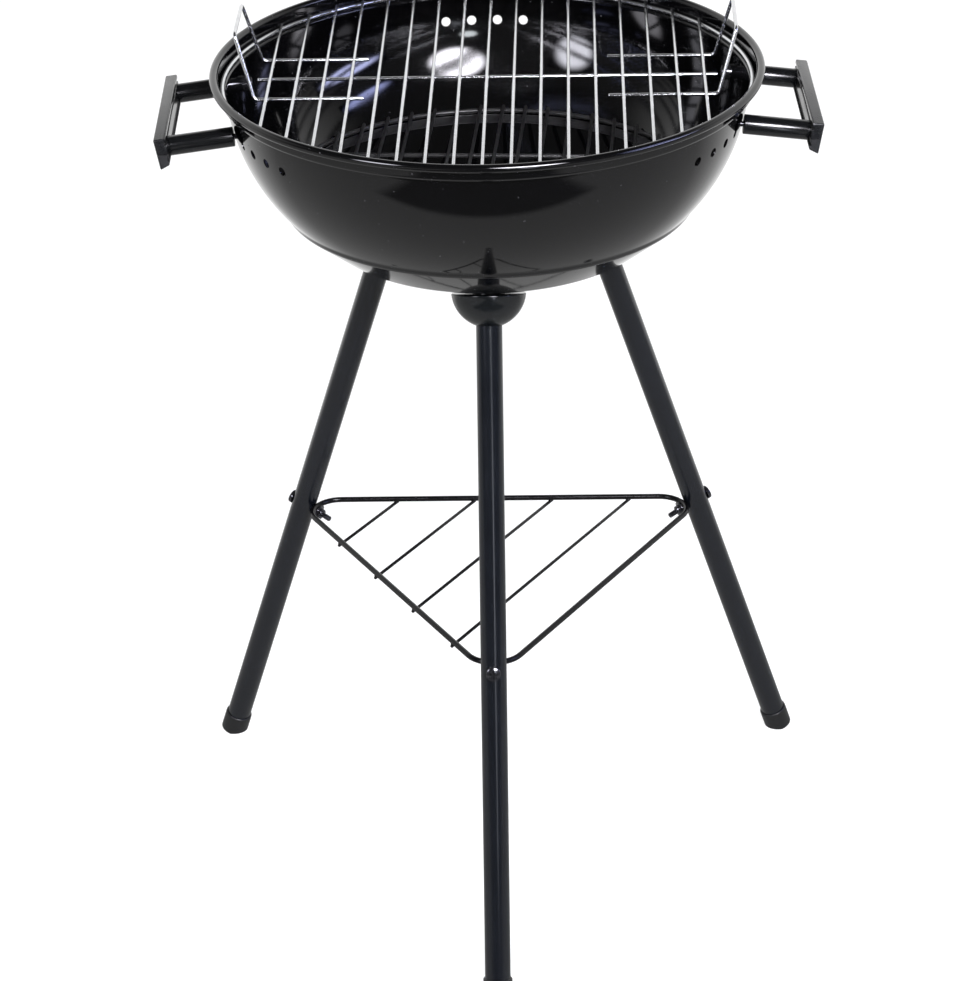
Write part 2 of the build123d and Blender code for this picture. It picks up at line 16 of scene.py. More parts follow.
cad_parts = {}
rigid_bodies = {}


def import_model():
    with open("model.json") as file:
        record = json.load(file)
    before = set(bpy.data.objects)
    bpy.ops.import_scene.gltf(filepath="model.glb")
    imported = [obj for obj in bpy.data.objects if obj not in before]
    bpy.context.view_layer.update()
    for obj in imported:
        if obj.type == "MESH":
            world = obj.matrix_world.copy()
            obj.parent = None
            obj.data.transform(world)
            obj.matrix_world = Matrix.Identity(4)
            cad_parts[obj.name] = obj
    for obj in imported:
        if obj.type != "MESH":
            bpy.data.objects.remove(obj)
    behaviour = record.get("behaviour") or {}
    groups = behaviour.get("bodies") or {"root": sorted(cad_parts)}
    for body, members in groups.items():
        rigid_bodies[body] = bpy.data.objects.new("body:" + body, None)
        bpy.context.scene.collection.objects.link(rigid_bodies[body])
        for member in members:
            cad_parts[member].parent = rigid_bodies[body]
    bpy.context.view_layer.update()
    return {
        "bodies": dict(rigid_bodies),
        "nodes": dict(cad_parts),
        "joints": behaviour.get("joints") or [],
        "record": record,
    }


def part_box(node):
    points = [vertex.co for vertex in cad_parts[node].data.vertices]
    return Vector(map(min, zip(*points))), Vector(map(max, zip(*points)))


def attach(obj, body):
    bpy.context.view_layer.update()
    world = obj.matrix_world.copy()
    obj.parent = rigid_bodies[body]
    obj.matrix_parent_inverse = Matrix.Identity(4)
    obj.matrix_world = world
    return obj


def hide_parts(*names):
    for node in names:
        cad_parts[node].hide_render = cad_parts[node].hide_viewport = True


LOG = logging.getLogger("grill")
MM = 0.001
SHARP = radians(32.0)
SAME_POINT = 1e-4
BOWL_AXIS_MM = (0.0, 40.79, 0.0)
IDENTITY = Matrix.Identity(4).freeze()

# Noise that clouds, grains and waves every finish
CLOUD_DETAIL = 4.0
CLOUD_ROUGHNESS = 0.6
CLOUD_SPAN = (0.3, 0.7)
GRAIN_DETAIL = 2.0
WAVE_DETAIL = 1.0

# Screw threads: depth as a share of the pitch, and how far the root sinks into the shank
THREAD_DEPTH = 0.6
THREAD_ROOT = 0.1

Pair = tuple[float, float]
Value = Union[float, NodeSocket]


class Place(Enum):
    """Places round the bowl, each with its turn in degrees."""

    @property
    def word(self) -> str:
        """Word for this place in the names of the pieces."""
        return self.name.lower()


class Side(Place):
    """Sides of the bowl that carry a handle, turned from the right side."""

    RIGHT = 0.0
    LEFT = 180.0


class LegPlace(Place):
    """Places of the legs, by azimuth."""

    FRONT = -90.0
    RIGHT = 30.0
    LEFT = 150.0


class Body(Enum):
    """Bodies of the grill that move as one."""

    GRILL = "grill"
    COOKING_GRATE = "cooking_grate"
    COAL_GRATE = "coal_grate"


# Colour and shader nodes
def linear(hex_colour: str) -> tuple[float, float, float, float]:
    """Turn an sRGB hex colour into linear light.

    Args:
        hex_colour: Six hex digits after a hash sign.

    Returns:
        Linear red, green, blue and a full alpha.
    """
    parts = [int(hex_colour[i : i + 2], 16) / 255 for i in (1, 3, 5)]
    light = [p / 12.92 if p <= 0.04045 else ((p + 0.055) / 1.055) ** 2.4 for p in parts]
    return (light[0], light[1], light[2], 1.0)


def per_mm(size: float) -> float:
    """Texture scale at which one feature of a pattern is this many millimetres wide."""
    return 1.0 / (size * MM)


def add_node(tree: NodeTree, kind: str, inputs: Optional[dict] = None, **settings) -> Node:
    """Add one node with its settings, values and links.

    Args:
        tree: Node tree to add to.
        kind: Node type without its ShaderNode prefix.
        inputs: Socket names or numbers, each with a value or the output that feeds it.
        **settings: Properties of the node itself.

    Returns:
        The new node.
    """
    node = tree.nodes.new("ShaderNode" + kind)
    for name, value in settings.items():
        setattr(node, name, value)
    for key, value in (inputs or {}).items():
        if isinstance(value, NodeSocket):
            tree.links.new(value, node.inputs[key])
        else:
            node.inputs[key].default_value = value
    return node


def reckon(tree: NodeTree, operation: str, first: Value, second: Value = 0.0) -> NodeSocket:
    """Work out one value from two with a math node."""
    return add_node(tree, "Math", {0: first, 1: second}, operation=operation).outputs[0]


def ramp(tree: NodeTree, value: NodeSocket, span: Pair, levels: Pair, curve: str = "LINEAR") -> NodeSocket:
    """Lead a value from one level to another over a span of it."""
    inputs = {0: value, 1: span[0], 2: span[1], 3: levels[0], 4: levels[1]}
    return add_node(tree, "MapRange", inputs, interpolation_type=curve).outputs[0]


def noise(tree: NodeTree, place: NodeSocket, size_mm: float, detail: float, rough: float = 0.5) -> NodeSocket:
    """Spread cloudy noise with features of a size over a surface."""
    inputs = {"Vector": place, "Scale": per_mm(size_mm), "Detail": detail, "Roughness": rough}
    return add_node(tree, "TexNoise", inputs).outputs["Fac"]


def mix_colour(tree: NodeTree, share: NodeSocket, first: object, second: object) -> NodeSocket:
    """Mix two colours, each a value or an output."""
    return add_node(tree, "Mix", {0: share, 6: first, 7: second}, data_type="RGBA").outputs[2]


def new_material(name: str) -> tuple[Material, NodeTree]:
    """Start a material with an empty node tree.

    Args:
        name: Name of the material.

    Returns:
        The material and its tree.
    """
    made = bpy.data.materials.new(name)
    made.use_nodes = True
    made.node_tree.nodes.clear()
    return made, made.node_tree


@dataclass(frozen=True)
class Specks:
    """Small dull specks of dust or grit on a surface."""

    spacing_mm: float
    colour: str
    share: float

    def add(
        self, tree: NodeTree, place: NodeSocket, colour: NodeSocket, rough: NodeSocket
    ) -> tuple[NodeSocket, NodeSocket]:
        """Scatter the specks over a surface.

        Args:
            tree: Node tree of the material.
            place: Object coordinates.
            colour: Colour of the clean surface.
            rough: Roughness of the clean surface.

        Returns:
            Colour and roughness with the specks on them.
        """
        cells = add_node(tree, "TexVoronoi", {"Vector": place, "Scale": per_mm(self.spacing_mm)})
        dots = ramp(tree, cells.outputs["Distance"], (self.share, self.share * 2), (1.0, 0.0))
        tinted = mix_colour(tree, dots, colour, linear(self.colour))
        return tinted, reckon(tree, "MAXIMUM", rough, dots)


@dataclass(frozen=True)
class DullBand:
    """Level band where a surface is dull, as where a coat pulls thin over a pressed corner.

    With a reach, only the skin nearer to the bowl's axis than that is dulled, along a leaning wall.
    """

    height_mm: float
    width_mm: float
    roughness: float
    reach_mm: float = 0.0
    lean: float = 0.375
    blur_mm: float = 0.15
    fade: float = 1.5

    def add(self, tree: NodeTree, place: NodeSocket, rough: NodeSocket) -> NodeSocket:
        """Dull a surface in the band.

        Args:
            tree: Node tree of the material.
            place: Object coordinates.
            rough: Roughness of the rest of the surface.

        Returns:
            Roughness with the band in it.
        """
        height = add_node(tree, "SeparateXYZ", {0: place}).outputs["Z"]
        rise = reckon(tree, "SUBTRACT", height, self.height_mm * MM)
        half = self.width_mm * MM / 2
        dull = ramp(tree, reckon(tree, "ABSOLUTE", rise), (half, half * self.fade), (self.roughness, 0.0))
        if self.reach_mm:
            dull = reckon(tree, "MULTIPLY", dull, self.inside(tree, place, rise))
        return reckon(tree, "MAXIMUM", rough, dull)

    def inside(self, tree: NodeTree, place: NodeSocket, rise: NodeSocket) -> NodeSocket:
        """Tell the inner skin of the bowl from the outer one.

        Args:
            tree: Node tree of the material.
            place: Object coordinates.
            rise: Height above the middle of the band.

        Returns:
            One on the inner skin and zero on the outer one.
        """
        level = add_node(tree, "VectorMath", {0: place, 1: (1.0, 1.0, 0.0)}, operation="MULTIPLY").outputs[0]
        axis = tuple(size * MM for size in BOWL_AXIS_MM)
        reach = add_node(tree, "VectorMath", {0: level, 1: axis}, operation="DISTANCE").outputs["Value"]
        upright = reckon(tree, "SUBTRACT", reach, reckon(tree, "MULTIPLY", rise, self.lean))
        span = ((self.reach_mm - self.blur_mm) * MM, (self.reach_mm + self.blur_mm) * MM)
        return ramp(tree, upright, span, (1.0, 0.0))


@dataclass(frozen=True)
class Finish:
    """Surface of one material: its colour, gloss, relief and the dust or grit on it.

    Grain and wave are a width and a depth in millimetres.
    """

    name: str
    slot: str
    colour: str
    shade: str
    roughness: Pair
    cloud_mm: float
    grain: Pair
    wave: Pair = (0.0, 0.0)
    ior: float = 1.5
    metallic: float = 0.0
    specks: Optional[Specks] = None
    dull: Optional[DullBand] = None

    def material(self) -> Material:
        """Build the node material of this finish, once.

        Returns:
            A material named for the finish.
        """
        made = bpy.data.materials.get(self.name)
        if made:
            return made
        made, tree = new_material(self.name)
        place = add_node(tree, "TexCoord").outputs["Object"]
        cloud = noise(tree, place, self.cloud_mm, CLOUD_DETAIL, CLOUD_ROUGHNESS)
        colour = mix_colour(tree, cloud, linear(self.colour), linear(self.shade))
        rough = ramp(tree, cloud, CLOUD_SPAN, self.roughness)
        if self.specks:
            colour, rough = self.specks.add(tree, place, colour, rough)
        if self.dull:
            rough = self.dull.add(tree, place, rough)
        inputs = {"Base Color": colour, "Roughness": rough, "Metallic": self.metallic}
        inputs["Normal"] = self.relief(tree, place)
        if not self.metallic:
            inputs["IOR"] = self.ior
        shader = add_node(tree, "BsdfPrincipled", inputs)
        add_node(tree, "OutputMaterial", {"Surface": shader.outputs[0]})
        return made

    def relief(self, tree: NodeTree, place: NodeSocket) -> NodeSocket:
        """Raise the fine grain and any long wave of the surface.

        Args:
            tree: Node tree of the material.
            place: Object coordinates.

        Returns:
            The normal with both bumps in it.
        """
        normal = None
        for (width, depth), detail in ((self.grain, GRAIN_DETAIL), (self.wave, WAVE_DETAIL)):
            if depth:
                height = noise(tree, place, width, detail)
                inputs = {"Height": height, "Strength": 1.0, "Distance": depth * MM}
                if normal:
                    inputs["Normal"] = normal
                normal = add_node(tree, "Bump", inputs).outputs[0]
        return normal


# Vitreous enamel fired on pressed steel: a deep black glass skin, faintly wavy, with stray dust.
ENAMEL = Finish(
    "black_vitreous_enamel", "bowl_enamel", colour="#020202", shade="#040405", roughness=(0.05, 0.08),
    cloud_mm=60.0, grain=(2.4, 0.003), wave=(70.0, 0.03), ior=1.52,
    specks=Specks(spacing_mm=11.0, colour="#3c3c3d", share=0.03),
    dull=DullBand(height_mm=600.5, width_mm=5.0, roughness=0.9, reach_mm=170.25),
)
# Powder coat baked on drawn tube: an even satin black with a very fine orange peel.
POWDER_COAT = Finish(
    "satin_black_powder_coat", "leg_paint", colour="#090b0f", shade="#0d1015", roughness=(0.13, 0.18),
    cloud_mm=35.0, grain=(1.1, 0.006), wave=(9.0, 0.012),
)
# Polypropylene moulded in a polished tool: glossy black, softly uneven where it shrank.
GLOSS_MOULDING = Finish(
    "gloss_black_polypropylene", "socket_paint", colour="#090b0c", shade="#0d1011", roughness=(0.10, 0.16),
    cloud_mm=25.0, grain=(1.5, 0.004), wave=(14.0, 0.02), ior=1.49,
)
# Soft vinyl foot cap: dull black with a fine moulded grain that picks up floor dust.
CAP_VINYL = Finish(
    "satin_black_vinyl", "cap_plastic", colour="#090a0a", shade="#0f1011", roughness=(0.38, 0.5),
    cloud_mm=12.0, grain=(0.7, 0.015), specks=Specks(spacing_mm=5.0, colour="#3a3936", share=0.04),
)
# Nylon grip with a spark-eroded grain: charcoal and satin, dull along its lower inner edge.
GRIP_NYLON = Finish(
    "charcoal_grained_nylon", "grip_plastic", colour="#0b0c0d", shade="#131416", roughness=(0.2, 0.3),
    cloud_mm=30.0, grain=(0.6, 0.012), ior=1.52, dull=DullBand(height_mm=662.0, width_mm=12.0, roughness=0.8),
)
# Gloss paint stoved on the handle tubes: black, smooth, with long soft waves along the tube.
HANDLE_PAINT = Finish(
    "gloss_black_stove_paint", "handle_paint", colour="#08090a", shade="#0c0d0e", roughness=(0.15, 0.19),
    cloud_mm=30.0, grain=(1.6, 0.003), wave=(40.0, 0.004),
)
# Chrome plate over drawn steel wire: bright, with the faint unevenness of a thin plate.
CHROME_WIRE = Finish(
    "chrome_plated_wire", "grate_chrome", colour="#dcdddf", shade="#c9cacc", roughness=(0.16, 0.25),
    cloud_mm=9.0, grain=(0.9, 0.006), metallic=1.0,
)
# Black paint dipped over welded wire: satin, a little thick at the crossings.
SHELF_PAINT = Finish(
    "black_dipped_wire_paint", "shelf_wire", colour="#050506", shade="#0a0a0b", roughness=(0.16, 0.24),
    cloud_mm=14.0, grain=(0.9, 0.008), ior=1.34,
)
# Heat-proof paint on the coal grate's wire: dark grey and satin, with pale ash dust.
COAL_PAINT = Finish(
    "satin_grey_heat_paint", "coal_wire", colour="#1f1f1f", shade="#2a2a29", roughness=(0.3, 0.42),
    cloud_mm=10.0, grain=(0.7, 0.02), specks=Specks(spacing_mm=4.0, colour="#4a4845", share=0.05),
)
# Steel blackened in oil: dark metal that still glints on its edges.
BLACK_STEEL = Finish(
    "oil_blackened_steel", "black_fasteners", colour="#565659", shade="#434347", roughness=(0.08, 0.14),
    cloud_mm=5.0, grain=(0.5, 0.006), metallic=0.9,
)
# Bright zinc plate: pale grey metal with a cloudy bluish cast.
ZINC_STEEL = Finish(
    "bright_zinc_plate", "zinc_steel", colour="#c4c8cc", shade="#a9aeb4", roughness=(0.24, 0.36),
    cloud_mm=4.0, grain=(0.5, 0.006), metallic=1.0,
)


# Mesh tools
def spin(mesh: BMesh, geom: Sequence, axis: Sequence[float], angle: float, steps: int, **more) -> list:
    """Sweep vertices and edges, or a face, round an axis.

    Args:
        mesh: Mesh that they are in.
        geom: What is swept.
        axis: Direction of the axis.
        angle: Angle in radians.
        steps: Number of stretches.
        **more: Centre, rise of each stretch, or merging of the ends.

    Returns:
        Geometry at the end of the sweep.
    """
    settings = {"cent": (0, 0, 0), "use_duplicate": False, **more}
    return bmesh.ops.spin(mesh, geom=geom, axis=axis, angle=angle, steps=steps, **settings)["geom_last"]


def bevel(mesh: BMesh, geom: Sequence, size: float, segments: int, **more) -> list[BMVert]:
    """Round edges, or corners of a line.

    Args:
        mesh: Mesh that they are in.
        geom: Edges or vertices.
        size: Length cut from each side.
        segments: Stretches across the rounding.
        **more: Other settings of the operator.

    Returns:
        The new vertices.
    """
    settings = {"offset_type": "OFFSET", "affect": "EDGES", "profile": 0.5, "material": -1, **more}
    return bmesh.ops.bevel(mesh, geom=geom, offset=size, segments=segments, **settings)["verts"]


def lean_out(tilt: float) -> Matrix:
    """Frame whose +Z leans out by an angle from straight down, with +X square to it, out and up."""
    columns = ((cos(tilt), 0, sin(tilt)), (0, -1, 0), (sin(tilt), 0, -cos(tilt)))
    return Matrix(columns).transposed().to_4x4()


class Section:
    """A line in the XZ plane, drawn from point to point and arc to arc, then turned about Z."""

    def __init__(self, start: Pair, *points: Pair) -> None:
        """Start the line in a mesh of its own and draw it straight on.

        Args:
            start: Radius and height of the first point.
            *points: Radius and height of each further point.
        """
        self.mesh = bmesh.new()
        self.first: BMVert = self.mesh.verts.new((start[0], 0.0, start[1]))
        self.tip = self.first
        self.verts = [self.tip]
        self.to(*points)

    def to(self, *points: Pair) -> "Section":
        """Draw straight stretches from point to point.

        Args:
            *points: Radius and height of each point.

        Returns:
            This section.
        """
        for radius, height in points:
            self.tip = bmesh.ops.extrude_vert_indiv(self.mesh, verts=[self.tip])["verts"][0]
            self.tip.co = (radius, 0.0, height)
            self.verts.append(self.tip)
        return self

    def arc(self, centre: Pair, turn: float, steps: int) -> "Section":
        """Draw an arc about a centre.

        Args:
            centre: Radius and height of the centre.
            turn: Angle in degrees, from +X towards +Z.
            steps: Number of stretches.

        Returns:
            This section.
        """
        known = set(self.mesh.verts)
        last = spin(self.mesh, [self.tip], (0, -1, 0), radians(turn), steps, cent=(centre[0], 0.0, centre[1]))
        self.tip = next(item for item in last if isinstance(item, BMVert))
        self.verts.extend(vert for vert in self.mesh.verts if vert not in known)
        return self

    def close(self) -> "Section":
        """Join the end of the line to its start."""
        self.mesh.edges.new((self.tip, self.first))
        return self

    def round_corners(self, points: Iterable[Pair], radius: float, segments: int) -> "Section":
        """Round the corners nearest to the given points.

        Args:
            points: Radius and height of each corner.
            radius: Length cut from each side of the corner.
            segments: Stretches of each rounded corner.

        Returns:
            This section.
        """
        for point in points:
            goal = Vector((point[0], 0.0, point[1]))
            corner = min(self.standing(), key=lambda vert: (vert.co - goal).length)
            made = bevel(self.mesh, [corner], radius, segments, affect="VERTICES")
            self.verts = self.standing() + made
        return self

    def standing(self) -> list[BMVert]:
        """Vertices of the line that no rounding has taken away."""
        return [vert for vert in self.verts if vert.is_valid]

    def turned(self, steps: int) -> BMesh:
        """Turn the whole line once about the Z axis.

        Args:
            steps: Number of stretches in the turn.

        Returns:
            The turned mesh.
        """
        own = self.standing()
        edges = {edge for vert in own for edge in vert.link_edges}
        spin(self.mesh, [*own, *edges], (0, 0, 1), 2 * pi, steps, use_merge=True)
        bmesh.ops.remove_doubles(self.mesh, verts=self.mesh.verts[:], dist=SAME_POINT)
        return self.mesh


class WireRun:
    """Round wire drawn from a cut end along straight stretches and bends."""

    def __init__(self, mesh: BMesh, diameter: float, sides: int = 16) -> None:
        """Make ready to draw wire.

        Args:
            mesh: Mesh that the wire is drawn into.
            diameter: Diameter of the wire.
            sides: Number of its sides.
        """
        self.mesh = mesh
        self.diameter = diameter
        self.sides = sides
        self.ring: list[BMEdge] = []
        self.point = Vector()
        self.heading = Vector((0, 0, 1))

    @property
    def open_end(self) -> list:
        """Vertices and edges at the end that is drawn on."""
        return [*{vert for edge in self.ring for vert in edge.verts}, *self.ring]

    def start(self, point: Vector, heading: Vector) -> None:
        """Cut the first end of the wire, square to its heading.

        Args:
            point: Start of the centre line.
            heading: Direction of the wire.
        """
        self.point, self.heading = point.copy(), heading.normalized()
        place = Matrix.Translation(point) @ self.heading.to_track_quat("Z", "Y").to_matrix().to_4x4()
        made = bmesh.ops.create_circle(self.mesh, segments=self.sides, radius=self.diameter / 2, matrix=place)
        self.ring = list({edge for vert in made["verts"] for edge in vert.link_edges})

    def straight(self, length: float) -> None:
        """Draw the wire straight on.

        Args:
            length: Length of the stretch.
        """
        made = bmesh.ops.extrude_edge_only(self.mesh, edges=self.ring)["geom"]
        verts = {item for item in made if isinstance(item, BMVert)}
        self.ring = [item for item in made if isinstance(item, BMEdge) and set(item.verts) <= verts]
        bmesh.ops.translate(self.mesh, verts=list(verts), vec=self.heading * length)
        self.point = self.point + self.heading * length

    def bend(self, heading: Vector, radius: float, steps: int) -> None:
        """Bend the wire round to a new heading.

        Args:
            heading: Heading after the bend.
            radius: Radius of the centre line in the bend.
            steps: Number of stretches in the bend.
        """
        axis = self.heading.cross(heading).normalized()
        angle = self.heading.angle(heading)
        centre = self.point + axis.cross(self.heading) * radius
        last = spin(self.mesh, self.open_end, axis, angle, steps, cent=centre)
        self.ring = [item for item in last if isinstance(item, BMEdge)]
        self.point = centre + Quaternion(axis, angle) @ (self.point - centre)
        self.heading = heading.normalized()

    def follow(self, corners: Sequence[Vector], radius: float, closed: bool, steps: int) -> None:
        """Draw the wire through a row of corners, rounding each one.

        Args:
            corners: Corners of the centre line.
            radius: Radius of the bends.
            closed: Whether the wire runs back to its start.
            steps: Number of stretches in each bend.
        """
        count = len(corners)
        first = corners[0].lerp(corners[-1], 0.5) if closed else corners[0]
        self.start(first, corners[0] - first if closed else corners[1] - corners[0])
        for index in range(count) if closed else range(1, count - 1):
            before, corner, after = corners[index - 1], corners[index], corners[(index + 1) % count]
            turn = (corner - before).angle(after - corner)
            self.straight((corner - self.point).length - radius * tan(turn / 2))
            self.bend((after - corner).normalized(), radius, steps)
        last = first if closed else corners[-1]
        self.straight((last - self.point).length)

    def rod(self, start: Vector, end: Vector) -> None:
        """Draw one straight wire between two points."""
        self.start(start, end - start)
        self.straight((end - start).length)

    def cap_ends(self, rounding: float) -> None:
        """Close every cut end and round its edge.

        Args:
            rounding: Share of the wire's diameter that the rounding takes.
        """
        open_edges = [edge for edge in self.mesh.edges if edge.is_boundary]
        faces = bmesh.ops.holes_fill(self.mesh, edges=open_edges, sides=self.sides)["faces"]
        rims = list({edge for face in faces for edge in face.edges})
        bevel(self.mesh, rims, self.diameter * rounding, segments=3)


def add_weld(mesh: BMesh, point: Vector, radius: float, flat: float = 0.62) -> None:
    """Add the small bead of metal that a spot weld squeezes out between two wires.

    Args:
        mesh: Mesh of the welded piece.
        point: Where the wires touch.
        radius: Radius of the bead, level with the wires.
        flat: Height of the bead as a share of its width.
    """
    squash = Matrix.Translation(point) @ Matrix.Diagonal((radius, radius, radius * flat, 1.0))
    bmesh.ops.create_icosphere(mesh, subdivisions=2, radius=1.0, matrix=squash)


def add_cylinder(
    mesh: BMesh, radius: float, start: float, end: float, place: Matrix = IDENTITY, sides: int = 40
) -> list[BMVert]:
    """Add a plain closed cylinder.

    Args:
        mesh: Mesh to add to.
        radius: Radius of the cylinder.
        start: Lower end along its own Z.
        end: Upper end along its own Z.
        place: Frame of the cylinder.
        sides: Number of sides.

    Returns:
        Its vertices.
    """
    middle = place @ Matrix.Translation((0, 0, (start + end) / 2))
    return bmesh.ops.create_cone(
        mesh, cap_ends=True, segments=sides, radius1=radius, radius2=radius, depth=end - start, matrix=middle
    )["verts"]


def add_prism(mesh: BMesh, width: float, start: float, end: float, chamfer: float) -> None:
    """Add a hexagon with chamfered edges along Z.

    Args:
        mesh: Mesh to add to.
        width: Width across the flats.
        start: Height of the lower end.
        end: Height of the upper end.
        chamfer: Size of the chamfers.
    """
    verts = add_cylinder(mesh, width / sqrt(3), start, end, sides=6)
    bevel(mesh, list({edge for vert in verts for edge in vert.link_edges}), chamfer, segments=2)


def add_thread(mesh: BMesh, radius: float, pitch: float, start: float, end: float, steps: int = 20) -> None:
    """Wind a raised thread round a shank along Z.

    Args:
        mesh: Mesh to add to.
        radius: Crest radius.
        pitch: Rise of one turn.
        start: Height where the thread begins.
        end: Height where it runs out.
        steps: Stretches in one turn.
    """
    turns = (end - start) / pitch
    root = radius - pitch * THREAD_DEPTH - THREAD_ROOT
    points = ((root, start), (radius, start + pitch / 2), (root, start + pitch))
    verts = [mesh.verts.new((x, 0.0, z)) for x, z in points]
    face = mesh.faces.new(verts)
    count = max(3, int(turns * steps))
    rise = (0, 0, (end - start - pitch) / count)
    spin(mesh, [face, *face.edges, *verts], (0, 0, 1), 2 * pi * turns, count, dvec=rise)


def add_object(mesh: BMesh, name: str, material: Optional[Material] = None) -> Object:
    """Put a mesh into the scene as an object.

    Args:
        mesh: Mesh that is used up.
        name: Name of the object.
        material: Material of all its faces, or None for a draft.

    Returns:
        The object.
    """
    data = bpy.data.meshes.new(name)
    mesh.to_mesh(data)
    mesh.free()
    if material:
        data.materials.append(material)
    made = bpy.data.objects.new(name, data)
    bpy.context.scene.collection.objects.link(made)
    return made


def cut(mesh: BMesh, cutters: BMesh) -> BMesh:
    """Cut one closed mesh with another.

    Args:
        mesh: Mesh that is cut; it is used up.
        cutters: Closed shapes to take away; they are used up.

    Returns:
        The cut mesh.
    """
    for part in (mesh, cutters):
        bmesh.ops.recalc_face_normals(part, faces=part.faces[:])
    body, tool = add_object(mesh, "draft"), add_object(cutters, "draft")
    step = body.modifiers.new("cut", "BOOLEAN")
    step.operation = "DIFFERENCE"
    step.solver = "EXACT"
    step.object = tool
    view = bpy.context.evaluated_depsgraph_get()
    result = bmesh.new()
    result.from_mesh(bpy.data.meshes.new_from_object(body.evaluated_get(view)))
    for used in (body, tool):
        data = used.data
        bpy.data.objects.remove(used)
        bpy.data.meshes.remove(data)
    return result


def cut_cross(mesh: BMesh, top: float, size: tuple[float, float, float]) -> BMesh:
    """Cut a cross recess into the head of a screw along Z.

    Args:
        mesh: Screw that is cut; it is used up.
        top: Height of the top of the head.
        size: Length, width and depth of each slot of the cross.

    Returns:
        The screw with its recess.
    """
    length, width, depth = size
    for across, along in ((length, width), (width, length)):
        slot = bmesh.new()
        place = Matrix.Translation((0, 0, top)) @ Matrix.Diagonal((across, along, 2 * depth, 1.0))
        bmesh.ops.create_cube(slot, size=1.0, matrix=place)
        mesh = cut(mesh, slot)
    return mesh


def join(mesh: BMesh, part: BMesh, frame: Matrix) -> None:
    """Move a part into place and add it to another mesh.

    Args:
        mesh: Mesh that grows.
        part: Part that is used up.
        frame: Place of the part.
    """
    bmesh.ops.recalc_face_normals(part, faces=part.faces[:])
    bmesh.ops.transform(part, matrix=frame, verts=part.verts[:])
    data = bpy.data.meshes.new("joined")
    part.to_mesh(data)
    part.free()
    mesh.from_mesh(data)
    bpy.data.meshes.remove(data)


@dataclass
class Workshop:
    """Turns drafts in millimetres about the bowl's axis into dressed pieces of the grill."""

    axis: Vector
    frame: dict
    made: list[str] = field(default_factory=list)

    def finish(
        self,
        mesh: BMesh,
        name: str,
        look: Finish,
        nodes: Sequence[str],
        place: Matrix = IDENTITY,
        body: Body = Body.GRILL,
    ) -> None:
        """Make a piece from a draft and set it on its body.

        Args:
            mesh: Draft in millimetres; it is used up.
            name: Name of the piece.
            look: Finish of the piece.
            nodes: CAD nodes that it stands for.
            place: Frame of the draft about the bowl's axis.
            body: Body that it rides on.
        """
        bmesh.ops.recalc_face_normals(mesh, faces=mesh.faces[:])
        to_frame = Matrix.Translation(self.axis) @ Matrix.Diagonal((MM, MM, MM, 1.0))
        bmesh.ops.transform(mesh, matrix=to_frame @ place, verts=mesh.verts[:])
        for face in mesh.faces:
            face.smooth = True
        piece = add_object(mesh, name, look.material())
        piece.data.set_sharp_from_angle(angle=SHARP)
        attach(piece, body.value)
        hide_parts(*nodes)
        self.made.append(name)
        LOG.info("%s: %d faces on %s", name, len(piece.data.polygons), body.value)

    def dress(self, node: str, look: Finish) -> None:
        """Give a CAD node that stays in view its finish.

        Args:
            node: Name of the node.
            look: Finish of the node.
        """
        piece = self.frame["nodes"][node]
        piece.data.materials.clear()
        piece.data.materials.append(look.material())
        LOG.info("%s: CAD node in %s", node, look.name)


@dataclass(frozen=True)
class GrillSizes:
    """Sizes in millimetres that more than one sub-assembly uses, about the bowl's axis."""

    sheet: float = 1.0
    rim_height: float = 714.0
    rim_radius: float = 225.0
    lip_radius: float = 3.5
    dish_arc: float = 293.2
    bowl_depth: float = 177.2
    bowl_turn: float = 1.85
    leg_tilt: float = 19.6
    tube_diameter: float = 21.3
    screw_height: float = 261.7
    cap_lift: float = 1.0
    cap_sole: float = 6.0
    seat: float = 0.05
    slip: float = 0.15
    leg_top: float = 6.2
    washer: float = 1.2
    turn_steps: int = 72

    @property
    def dish_centre_z(self) -> float:
        """Height of the centre of the dish's round."""
        return self.rim_height - self.bowl_depth + self.dish_arc

    @property
    def collar_inner(self) -> float:
        """Inner radius of the collar under the lip."""
        return self.rim_radius - 2 * self.lip_radius

    @property
    def lip_z(self) -> float:
        """Height of the centre of the rolled lip."""
        return self.rim_height - self.lip_radius

    @property
    def tube_bore(self) -> float:
        """Radius of a bore that a leg tube slides into."""
        return self.tube_diameter / 2 + self.slip

    def along_leg(self, height: float) -> float:
        """Distance down a leg axis from the dish to a height."""
        return (self.dish_centre_z - height) / cos(radians(self.leg_tilt)) - self.dish_arc

    def leg_frame(self, place: LegPlace) -> Matrix:
        """Frame of a leg where it leaves the dish: +Z down the leg, +X away from the bowl.

        Args:
            place: Which leg.

        Returns:
            Matrix from the leg's own millimetres to those of the bowl.
        """
        tilt = radians(self.leg_tilt)
        start = Vector((self.dish_arc * sin(tilt), 0, self.dish_centre_z - self.dish_arc * cos(tilt)))
        turn = Matrix.Rotation(radians(place.value), 4, "Z")
        return turn @ Matrix.Translation(start) @ lean_out(tilt)


SIZES = GrillSizes()


